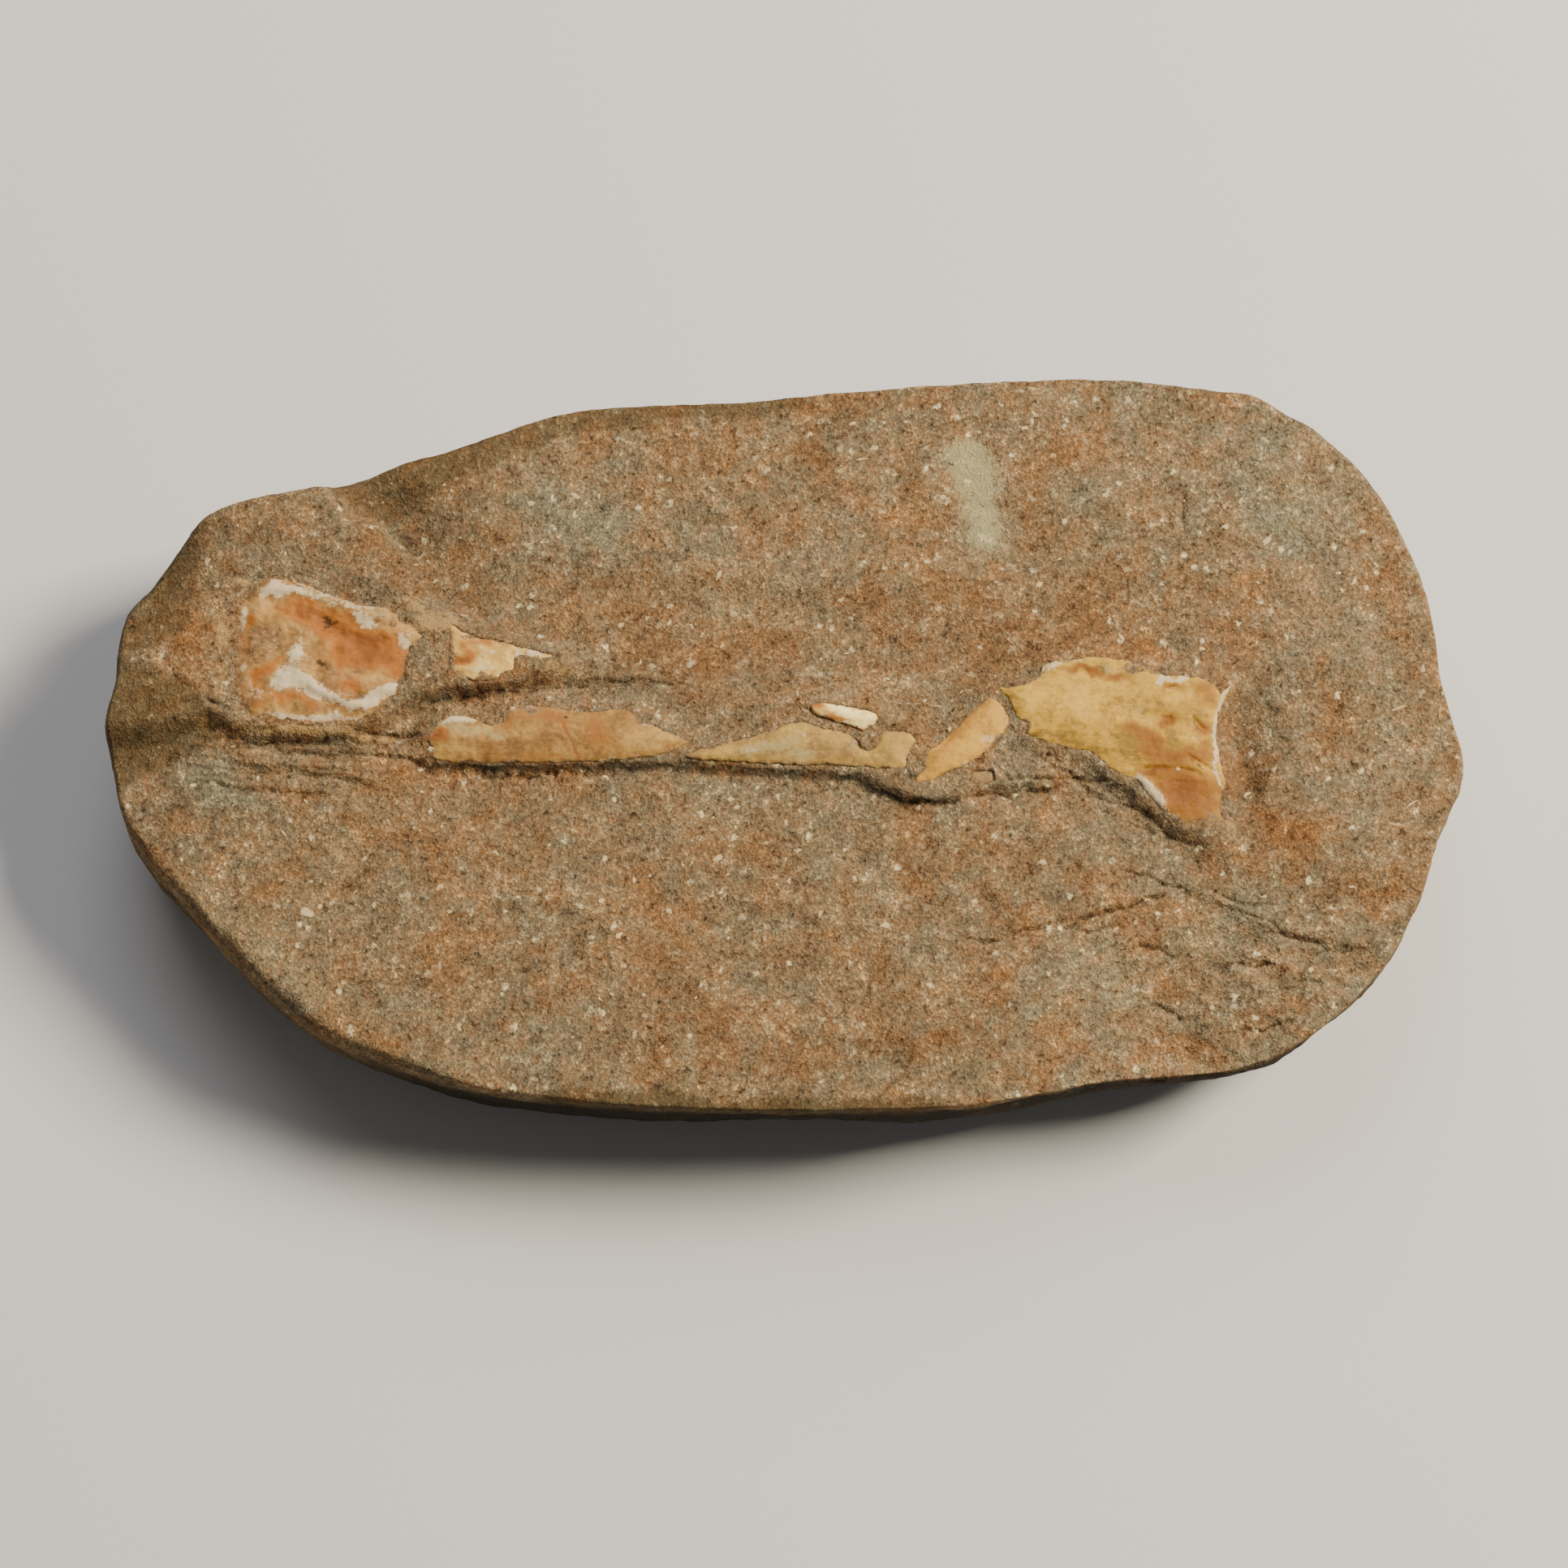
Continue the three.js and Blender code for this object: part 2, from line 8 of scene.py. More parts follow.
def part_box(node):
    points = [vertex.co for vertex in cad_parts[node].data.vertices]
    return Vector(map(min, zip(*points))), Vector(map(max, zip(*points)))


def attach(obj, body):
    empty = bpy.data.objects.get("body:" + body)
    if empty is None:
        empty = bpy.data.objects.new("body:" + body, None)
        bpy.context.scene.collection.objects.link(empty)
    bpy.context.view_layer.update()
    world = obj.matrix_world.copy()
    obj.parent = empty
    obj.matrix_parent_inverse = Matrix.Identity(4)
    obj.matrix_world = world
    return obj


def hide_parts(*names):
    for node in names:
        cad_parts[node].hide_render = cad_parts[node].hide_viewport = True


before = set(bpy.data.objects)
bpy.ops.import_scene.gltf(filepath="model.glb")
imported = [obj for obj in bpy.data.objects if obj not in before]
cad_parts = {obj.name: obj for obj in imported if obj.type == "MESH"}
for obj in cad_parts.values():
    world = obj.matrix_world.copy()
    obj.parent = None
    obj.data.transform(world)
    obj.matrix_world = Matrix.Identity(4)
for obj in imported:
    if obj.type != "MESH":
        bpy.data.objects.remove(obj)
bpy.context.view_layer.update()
mm = 0.001  # sizes in this file are millimetres, and Blender gets metres
scatter = np.random.default_rng(11)
print("frame loaded")


def toLinear(hexColour, alpha=1.0):
    parts = [int(hexColour[i:i + 2], 16) / 255 for i in (1, 3, 5)]
    return [p / 12.92 if p <= 0.04045 else ((p + 0.055) / 1.055) ** 2.4 for p in parts] + [alpha]


def addNode(tree, kind, inputs=None, **settings):  # an input is a value or another node's socket
    node = tree.nodes.new("ShaderNode" + kind)
    for key, value in settings.items():
        setattr(node, key, value)
    for key, value in (inputs or {}).items():
        if isinstance(value, bpy.types.NodeSocket):
            tree.links.new(value, node.inputs[key])
        else:
            node.inputs[key].default_value = value
    return node


def startMaterial(name, roughness, specular):
    material = bpy.data.materials.new(name)
    material.use_nodes = True
    shader = material.node_tree.nodes["Principled BSDF"]
    shader.inputs["Roughness"].default_value = roughness
    shader.inputs["Specular IOR Level"].default_value = specular
    return material, material.node_tree, shader


def addVariation(tree, source, share, value):  # value + share x (source - half)
    centred = addNode(tree, "Math", {0: source, 1: 0.5}, operation="SUBTRACT").outputs[0]
    return addNode(tree, "Math", {0: centred, 1: share, 2: value}, operation="MULTIPLY_ADD").outputs[0]


def setRamp(bar, stops):  # stops are places and sRGB colours
    while len(bar.elements) < len(stops):
        bar.elements.new(0.5)
    for element, (at, colour) in zip(bar.elements, stops):
        element.position = at
        element.color = toLinear(colour)


def smooth(t):
    s = np.clip(t, 0, 1)
    return s * s * (3 - 2 * s)


def bell(t):
    return np.exp(-t * t)


noiseArrows = scatter.normal(size=(4096, 3))
noiseArrows /= np.linalg.norm(noiseArrows, axis=1)[:, None]


def noise(x, y, z=0.0):  # gradient noise, about -1 to 1, one lump per unit
    x, y, z = np.broadcast_arrays(*(np.asarray(a, float) for a in (x, y, z)))
    cell = [np.floor(a).astype(np.int64) for a in (x, y, z)]
    part = [a - c for a, c in zip((x, y, z), cell)]
    ease = [p * p * p * (p * (p * 6 - 15) + 10) for p in part]
    total = np.zeros(x.shape)
    for corner in np.ndindex(2, 2, 2):
        place = [c + d for c, d in zip(cell, corner)]
        pick = (place[0] * 73856093 ^ place[1] * 19349663 ^ place[2] * 83492791) & 4095
        arrow = noiseArrows[pick]
        away = [p - d for p, d in zip(part, corner)]
        share = 1.0
        for e, d in zip(ease, corner):
            share = share * (e if d else 1 - e)
        total += share * sum(arrow[..., k] * away[k] for k in range(3))
    return total * 1.6


def fractal(x, y, z, size, octaves=3, shift=0.0):
    total, height, reach = 0.0, 1.0, 0.0
    for octave in range(octaves):
        f = 2 ** octave / size
        total = total + height * noise(x * f + shift, y * f - shift, z * f + 3.7 * octave)
        reach += height
        height *= 0.55
    return total / reach


def measureTo(path, x, y, reach=12):
    # distance to a line of points, side (positive on its left), place along it, and its length;
    # points further away than the reach are left as infinitely far
    distance = np.full(x.shape, np.inf)
    side = np.ones(x.shape)
    along = np.zeros(x.shape)
    xs, ys = zip(*path)
    near = np.flatnonzero((x > min(xs) - reach) & (x < max(xs) + reach)
                          & (y > min(ys) - reach) & (y < max(ys) + reach))
    nx, ny = x[near], y[near]
    best = np.full(nx.shape, np.inf)
    length = 0.0
    for (ax, ay), (bx, by) in zip(path, path[1:]):
        dx, dy = bx - ax, by - ay
        run = math.hypot(dx, dy)
        share = np.clip(((nx - ax) * dx + (ny - ay) * dy) / run ** 2, 0, 1)
        away = np.hypot(nx - ax - share * dx, ny - ay - share * dy)
        nearer = away < best
        best = np.where(nearer, away, best)
        at = near[nearer]
        side[at] = np.where(dx * (ny[nearer] - ay) - dy * (nx[nearer] - ax) < 0, -1, 1)
        along[at] = length + share[nearer] * run
        length += run
    distance[near] = best
    return distance, side, along, length


def depthInside(outline, x, y, reach=12):  # distance to a closed outline, positive inside it
    xs, ys = zip(*outline)
    near = np.flatnonzero((x > min(xs)) & (x < max(xs)) & (y > min(ys)) & (y < max(ys)))
    nx, ny = x[near], y[near]
    inside = np.zeros(nx.shape, bool)
    for (ax, ay), (bx, by) in zip(outline, [*outline[1:], outline[0]]):
        if ay != by:
            crosses = (ay > ny) != (by > ny)
            inside ^= crosses & (nx < (bx - ax) * (ny - ay) / (by - ay) + ax)
    distance = -measureTo([*outline, outline[0]], x, y, reach)[0]
    distance[near] = np.where(inside, -distance[near], distance[near])
    return distance


def blobs(spots, x, y):  # spots are [x, y, half length, half width, turn, strength]
    total = np.zeros(x.shape)
    for cx, cy, longHalf, shortHalf, turn, strength in spots:
        a = math.radians(turn)
        along = (x - cx) * math.cos(a) + (y - cy) * math.sin(a)
        across = (y - cy) * math.cos(a) - (x - cx) * math.sin(a)
        total += strength * bell(np.hypot(along / longHalf, across / shortHalf))
    return total


def strokes(lines, x, y):  # lines are [path, half width, strength], fading out at both ends
    total = np.zeros(x.shape)
    for path, width, strength in lines:
        distance, _, along, length = measureTo(path, x, y)
        ends = smooth(along / (2 * width) + 0.4) * smooth((length - along) / (2 * width) + 0.4)
        total += strength * bell(distance / width) * ends
    return total


def walk(outline, step):  # points along a closed outline at an even step
    ends = np.array([*outline, outline[0]], float)
    runs = np.hypot(*np.diff(ends, axis=0).T)
    places = np.concatenate([[0], np.cumsum(runs)])
    count = max(8, round(places[-1] / step))
    at = np.linspace(0, places[-1], count, endpoint=False)
    return np.stack([np.interp(at, places, ends[:, k]) for k in (0, 1)], 1)


def outwardNormals(points):  # of a closed outline that runs counter-clockwise
    ahead = np.roll(points, -1, 0) - np.roll(points, 1, 0)
    ahead /= np.hypot(*ahead.T)[:, None]
    return np.stack([ahead[:, 1], -ahead[:, 0]], 1)


def wallFaces(above, below):  # four-sided faces between two rings of points
    count = len(above)
    return [(above[k], below[k], below[(k + 1) % count], above[(k + 1) % count]) for k in range(count)]


def triangulate(edge, inner):  # the edge's points first, then the inner ones
    places = [Vector(p) for p in np.concatenate([edge, inner])]
    loop = list(range(len(edge)))
    out = delaunay_2d_cdt(places, [], [loop], 1, 1e-7)
    points = np.array([list(v) for v in out[0]])
    return points, [tuple(f) for f in out[2]]


def jitteredGrid(low, high, step):
    xs = np.arange(low[0], high[0], step)
    ys = np.arange(low[1], high[1], step * 0.87)
    gx, gy = np.meshgrid(xs, ys)
    gx[1::2] += step / 2
    sway = scatter.uniform(-0.28, 0.28, (2, *gx.shape)) * step
    return np.stack([(gx + sway[0]).ravel(), (gy + sway[1]).ravel()], 1)


def makePiece(name, points, faces, masks, material, slot, *nodes):
    mesh = bpy.data.meshes.new(name)
    mesh.from_pydata((np.asarray(points) * mm).tolist(), [], faces)
    for key, values in masks.items():
        data = mesh.attributes.new(key, "FLOAT", "POINT").data
        data.foreach_set("value", np.asarray(values, np.float32))
    mesh.polygons.foreach_set("use_smooth", [True] * len(mesh.polygons))
    mesh.materials.append(material)
    mesh.update()
    piece = bpy.data.objects.new(name, mesh)
    bpy.context.scene.collection.objects.link(piece)
    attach(piece, "root")
    if nodes:
        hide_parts(*nodes)
    return piece


def footOutline(node):  # the outline of a CAD piece's flat underside, counter-clockwise
    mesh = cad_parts[node].data
    places = [tuple(round(c / mm, 3) for c in v.co) for v in mesh.vertices]
    low = min(p[2] for p in places)
    edges = set()
    for face in mesh.polygons:
        corners = [places[i] for i in face.vertices]
        if all(p[2] < low + 0.02 for p in corners):
            edges |= {(a[:2], b[:2]) for a, b in zip(corners, corners[1:] + corners[:1])}
    after = {a: b for a, b in edges if (b, a) not in edges}
    start = min(after)
    loop = [start]
    while after[loop[-1]] != start:
        loop.append(after[loop[-1]])
    area = sum(a[0] * b[1] - b[0] * a[1] for a, b in zip(loop, loop[1:] + loop[:1]))
    return loop if area > 0 else loop[::-1]


view = {"target": (0, -6.2, 24), "distance": 570, "tilt": 12.5, "lens": 105, "sensor": 36}
studio = {
    "key": {"place": (860, 300, 900), "size": 420, "watts": 35.5, "colour": "#fdf3e0"},
    "fill": {"place": (-120, 780, 840), "size": 750, "watts": 6.8, "colour": "#f4f5ff"},
    "world": ("#ebebeb", 0.15),
    "floor": ("#d2d0cb", 1500),
}


def addCamera(values):
    data = bpy.data.cameras.new("camera")
    data.lens = values["lens"]
    data.sensor_width = values["sensor"]
    data.clip_start = 0.01
    camera = bpy.data.objects.new("camera", data)
    tilt = math.radians(values["tilt"])
    away = Vector((0, -math.sin(tilt), math.cos(tilt))) * values["distance"]
    camera.location = (Vector(values["target"]) + away) * mm
    camera.rotation_euler = (tilt, 0, 0)
    bpy.context.scene.collection.objects.link(camera)
    bpy.context.scene.camera = camera


def addLight(name, values):
    data = bpy.data.lights.new(name, "AREA")
    data.size = values["size"] * mm
    data.energy = values["watts"]
    data.color = toLinear(values["colour"])[:3]
    light = bpy.data.objects.new(name, data)
    light.location = Vector(values["place"]) * mm
    light.rotation_euler = (-light.location).to_track_quat("-Z", "Y").to_euler()
    bpy.context.scene.collection.objects.link(light)


def addFloor(colour, size):
    # matt paper: soft, gives no glare
    material, _, shader = startMaterial("matt_paper_floor", 0.9, 0.5)
    shader.inputs["Base Color"].default_value = toLinear(colour)
    mesh = bpy.data.meshes.new("floor")
    half = size / 2 * mm
    corners = [(x * half, y * half, 0) for x, y in ((-1, -1), (1, -1), (1, 1), (-1, 1))]
    mesh.from_pydata(corners, [], [(0, 1, 2, 3)])
    mesh.materials.append(material)
    floor = bpy.data.objects.new("floor", mesh)
    bpy.context.scene.collection.objects.link(floor)


addCamera(view)
addLight("key_light", studio["key"])
addLight("fill_light", studio["fill"])
addFloor(*studio["floor"])
world = bpy.data.worlds.new("studio_air")
bpy.context.scene.world = world
world.use_nodes = True
world.node_tree.nodes["Background"].inputs["Color"].default_value = toLinear(studio["world"][0])
world.node_tree.nodes["Background"].inputs["Strength"].default_value = studio["world"][1]
print("camera, lights and floor placed")


block = {
    "halfLength": 85.2,  # millimetres, as all sizes here
    "halfWidth": 47.2,
    "bedHeight": 23.3,  # of the flat top
    "rimInset": 0.75,  # how far the rim lies inside the widest line, and the worn corner more
    "wornCorner": {"inset": 2.9, "angle": -2.5, "spread": 0.42},
    "shoulders": [  # direction, spread, how much rounder the rim is there
        (-0.75, 0.4, -0.25), (-1.6, 0.45, -0.3), (0.4, 0.6, 0.5), (2.4, 0.4, 0.9), (2.9, 0.3, 0.3),
    ],
    "girthRises": [  # direction, spread, how much higher the widest line is there
        (-0.85, 0.36, 0.33), (-1.53, 0.09, 0.2), (-1.15, 0.12, 0.08),
    ],
    "footInset": 7.5,  # how far the foot lies inside the widest line
    "footLobes": [(3, 1.3, 0.6), (7, 0.8, 0.0)],  # waves around, height, start
    "undercut": {"extra": 4.5, "angle": -0.95, "spread": 0.3},
    "girthLevel": 0.6,  # height of the widest line, as a share of the rim
    "terraces": [  # outline, rise, width of the slope
        ([(-80, 19), (-76, 24), (-73, 34), (-60, 34), (-54.6, 28.6), (-47.4, 23.6), (-45.6, 17.6),
          (-39, 14.6), (-30, 11.4), (-27, 9.2), (-31, 7.6), (-41, 5.8), (-50, 2.4), (-58, 0.6),
          (-68, 0.4), (-72, 2), (-80, 0), (-90, 0), (-90, 14)], 2.2, 3.0),
        ([(-24, 19), (-6, 19.5), (14, 17.5), (28, 13.5), (27, 8), (14, 6.6), (-4, 7.4),
          (-22, 9.4)], -0.8, 5.0),
        ([(-66, -4.5), (-46, -5), (-14, -4), (10, -6), (16, -9), (28, -7.6), (42, -7), (56, -17),
          (80, -20), (80, -60), (-80, -60), (-80, -12)], -0.5, 3.5),
    ],
    "scarps": [  # path, depth, width on the high side, width on the low side, fade at the ends
        ([(-46, -3.4), (-37, -3.6), (-27, -3.6), (-17, -3.4), (-13, -3.3), (-3, -4.1), (5, -4.4),
          (9, -5)], 0.5, 0.4, 1.7, 5),
        ([(5, -4.5), (9, -5), (12.8, -7), (15.8, -8.2), (18, -8.4)], 0.6, 0.7, 2.0, 3),
        ([(21.6, -8), (26.6, -6.6), (34, -5.9)], 0.45, 0.3, 1.2, 3),
        ([(-50.4, 2.4), (-47.2, 3.7), (-42.3, 4.8), (-37.3, 5.6), (-31, 6.1), (-25, 6.7),
          (-19, 7.2)], 0.65, 0.75, 1.4, 7),
        ([(28.8, -0.2), (32.8, -1.8), (37.6, -3.2), (41.2, -5.8), (44.8, -8.8), (48.8, -11.8),
          (52.8, -13.9), (56.2, -15.4)], 0.22, 0.5, 2.4, 6),
        ([(-70, -1.2), (-63.5, -0.9), (-55.4, -0.3), (-47.6, -1)], 0.45, 0.3, 1.2, 5),
        ([(-73, -2.6), (-63.4, -4.3), (-55.3, -5), (-47, -7.4)], 0.4, 0.3, 1.4, 6),
    ],
    "fineLines": [  # thin ledges and cracks, as scarps
        ([(-69, 0.2), (-63.5, 1.0), (-60, 1.2), (-55.4, 1.2), (-51, 0.6), (-47.3, 0.3),
          (-41.6, 0)], 0.7, 0.2, 0.6, 4),
        ([(-64.5, -1.9), (-55, -2.2), (-47.2, -2.6), (-41, -4.2)], 0.5, 0.2, 0.7, 4),
        ([(-75, -5.4), (-64, -6.8), (-54, -7.6)], 0.35, 0.2, 0.8, 5),
        ([(-72.6, 4.9), (-71, 3.9), (-69.6, 3.2)], 0.5, 0.2, 0.3, 1),
        ([(-68.4, 3.2), (-67.4, 2.9), (-66, 2.3), (-65, 1.7), (-64, 1.4), (-62.4, 1.7),
          (-61.6, 1.9)], 1.0, 0.25, 0.3, 1),
        ([(-71, 20.4), (-66, 20.2), (-61.4, 19.9), (-58, 18.9), (-54, 17.6), (-50, 16.5),
          (-47.6, 15.6)], 0.4, 0.45, 0.25, 2),
        ([(-49.4, 15.6), (-47.6, 16.9), (-46.2, 18), (-45.6, 19.2)], 0.5, 0.35, 0.5, 1),
        ([(-42.8, 13), (-41.8, 12), (-42, 9.6), (-41.8, 8)], 0.4, 0.3, 0.3, 1),
        ([(-24.6, 6.8), (-22, 7.4), (-19, 7.2), (-15.6, 7.0), (-11, 6.8)], 0.4, 0.2, 0.4, 3),
        ([(-40, -4.9), (-36, -5), (-32, -4.9), (-28, -4.6), (-25.4, -4.5)], 0.5, 0.25, 0.35, 3),
        ([(22, -8.2), (26.4, -7.2), (30, -6.9), (34.8, -6.7)], 0.75, 0.2, 0.5, 2),
        ([(26.6, -5.2), (30, -5.1), (36, -5.2), (42.2, -5.4)], 0.5, 0.2, 0.35, 2),
        ([(31.8, -3.4), (35.8, -4.6), (37.6, -6.6), (40, -8.3), (43.8, -8.6), (45.6, -10.2),
          (47.6, -12.4), (50, -13.4), (52.6, -14)], 0.3, 0.25, 0.6, 3),
        ([(42.6, -10.4), (44.4, -11.6), (46, -12.2)], 0.25, 0.2, 0.4, 1),
        ([(22.6, -26.4), (26, -25.5), (29.6, -24.4), (32.6, -23.6), (35.5, -23.2)], 0.65, 0.18, 0.4, 3),
        ([(33.4, -24.4), (36, -23.7), (38.1, -22.6), (41, -22), (43.6, -21.3), (46, -20.2),
          (48, -19)], 0.7, 0.18, 0.4, 2),
        ([(45.4, -17.9), (47.6, -18.6), (49.9, -18.9)], 0.43, 0.16, 0.3, 1),
        ([(40.7, -16.4), (44, -17.6), (46.4, -17.8)], 0.38, 0.16, 0.4, 2),
        ([(35.6, -24.6), (38, -24.6), (40.6, -24.1)], 0.36, 0.14, 0.3, 1.5),
        ([(52.6, -19), (55, -20.4), (57.6, -21.4), (60.2, -21.4)], 0.36, 0.14, 0.3, 1.5),
        ([(54.4, -21.4), (57.4, -22.2), (60.4, -23.4), (62.6, -25.1), (65, -25.8), (67.6, -27.2),
          (70, -27), (72.6, -26.6)], 0.36, 0.14, 0.35, 2),
        ([(43.6, -26), (46.6, -26.6), (49, -28)], 0.38, 0.16, 0.4, 1),
        ([(55.4, -28), (58, -28.6), (60.6, -28.4)], 0.43, 0.16, 0.4, 1),
        ([(44.8, -33), (48, -34.2), (50, -35.8)], 0.38, 0.16, 0.4, 1.5),
        ([(56, -37), (60, -36.4), (64, -35)], 0.43, 0.16, 0.4, 1.5),
        ([(60, -32.6), (63, -31), (66.4, -30.4)], 0.38, 0.16, 0.4, 1.5),
        ([(-79.6, 11), (-77.6, 9.4), (-75.9, 6.9), (-73.8, 5.7), (-72, 5)], 0.2, 0.3, 0.6, 2),
        ([(14.4, -8.0), (16.6, -8.4), (19, -8.5), (22.6, -8.1)], 0.6, 0.25, 0.4, 1.5),
        ([(50.7, 33.3), (50.4, 29.6), (50.6, 25.9)], 0.4, 0.3, 0.4, 2),
        ([(31.8, 43), (31.6, 36.5)], 0.25, 0.3, 0.3, 2),
        ([(12.1, 4.1), (15.4, 4.2), (19.7, 3.9)], -0.25, 0.2, 0.2, 2),
    ],
    "facets": [  # slope, then two lines as a point and the way downhill; it falls away beyond both
        (0.15, (-78, 9, -124), (-71.8, 3, 166)),
    ],
    "laminae": [  # outline, direction the little ledges step down in, spacing, riser
        ([(-74, 4.5), (-69, 1.8), (-60, 0.9), (-46.5, 0), (-44, -3.2), (-24, -3.4), (-24, -5.4),
          (-46, -8.6), (-60, -9), (-74, -8)], -92, 1.15, 0.2),
        ([(27, 0), (31.5, -1.4), (37.6, -3.2), (45, -9.6), (52.8, -14), (50, -15.6), (42, -11),
          (31, -6.6), (24, -6.4)], -128, 1.1, 0.14),
        ([(6, -4.4), (12, -6.2), (18, -8), (17, -10), (11, -8.6), (4, -5.8)], -120, 0.9, 0.16),
        ([(-50, 4.2), (-40, 6.4), (-24, 7.4), (-24, 5.8), (-38, 4), (-50, 1.8)], -84, 0.8, 0.18),
        ([(24, -44), (28, -37), (34, -29.5), (40, -25), (48, -20), (60, -24), (74, -27), (72, -34),
          (60, -40), (40, -45)], -70, 1.25, 0.24),
        ([(-66, 24), (-52, 21), (-44, 16), (-30, 11), (-20, 9), (-20, 12), (-32, 15), (-44, 21),
          (-52, 27), (-62, 28)], 40, 1.6, 0.26),
    ],
    "dents": [  # x, y, half length, half width, turn, rise
        (-50, 29.5, 9, 3.6, -45, -1.4), (-54.6, 28.6, 1.8, 1.4, 0, -1), (-47.6, 24.2, 1.6, 1.4, 0, -0.9),
        (-81, 18, 9, 5, 55, -1.2), (57.6, -1.4, 9, 2.8, 84, -1.2), (58.2, -6.9, 1.4, 1.2, 0, -1),
        (12, 12.5, 1.6, 1.2, 0, -0.6), (-10, 30, 34, 10, 4, 0.5),
    ],
    "break": [  # outline of the broken corner
        (22.6, -46), (25.6, -39.4), (27.6, -36.4), (32.4, -30.6), (37.4, -25.2), (43.6, -22),
        (49.8, -19.2), (54, -20.8), (61.6, -24.6), (71.6, -26.4), (78, -28.4), (92, -34), (70, -60),
        (20, -60),
    ],
    "breakStep": 0.36,  # height of the drop at its edge
    "breakFall": 0.17,  # slope beyond it
    "breakLedge": 2.3,  # width of its ledges
    "breakDepth": 5.0,  # and the most it falls
    "swell": ((0.25, 17, 0.8, 13), (0.12, 6, 4)),  # slow waves of the top: height, then their lengths
    "bedThickness": 0.42,  # of the thin beds that crop out along the ledges
    "bedShare": 0.8,  # how much the beds show there
    "edgeRoughness": (0.45, 1.3),  # height and size of the lumps along the ledges
    "raggedness": (0.9, 3.2),  # how far the lines stray, and over what length
}


# Every fragment of bone. The stone comes up flush to it on the side that "flush" points to: "seat" widens
# that side, "sunk" rounds its edge down, "cover" is how far in the stone runs under it, "lap" how far
# the stone laps over it and "sandWidth" how wide the sand sticks. "edge" is the height of its broken
# edge, "crown" how much higher its middle is, "reach" how far in that takes, "tilt" its slope along x
# and y, "grain" the direction of its fibres in degrees, "rough" its roughness, and "ground" its three
# tones from dark to light and its stain.
# Spots are x, y, half length, half width, turn, strength. Lines are points, half width, strength.
commonBone = {
    "seat": 0, "sunk": 0, "cover": 0.45, "lap": 0.25, "sandWidth": 0.3, "sandGain": (1, 0.97, 0.92),
    "lumps": [], "lines": [], "tone": [], "grey": [], "stain": [], "stainLines": [], "chalk": [],
    "chalkLines": [], "grime": [], "crust": [],
}
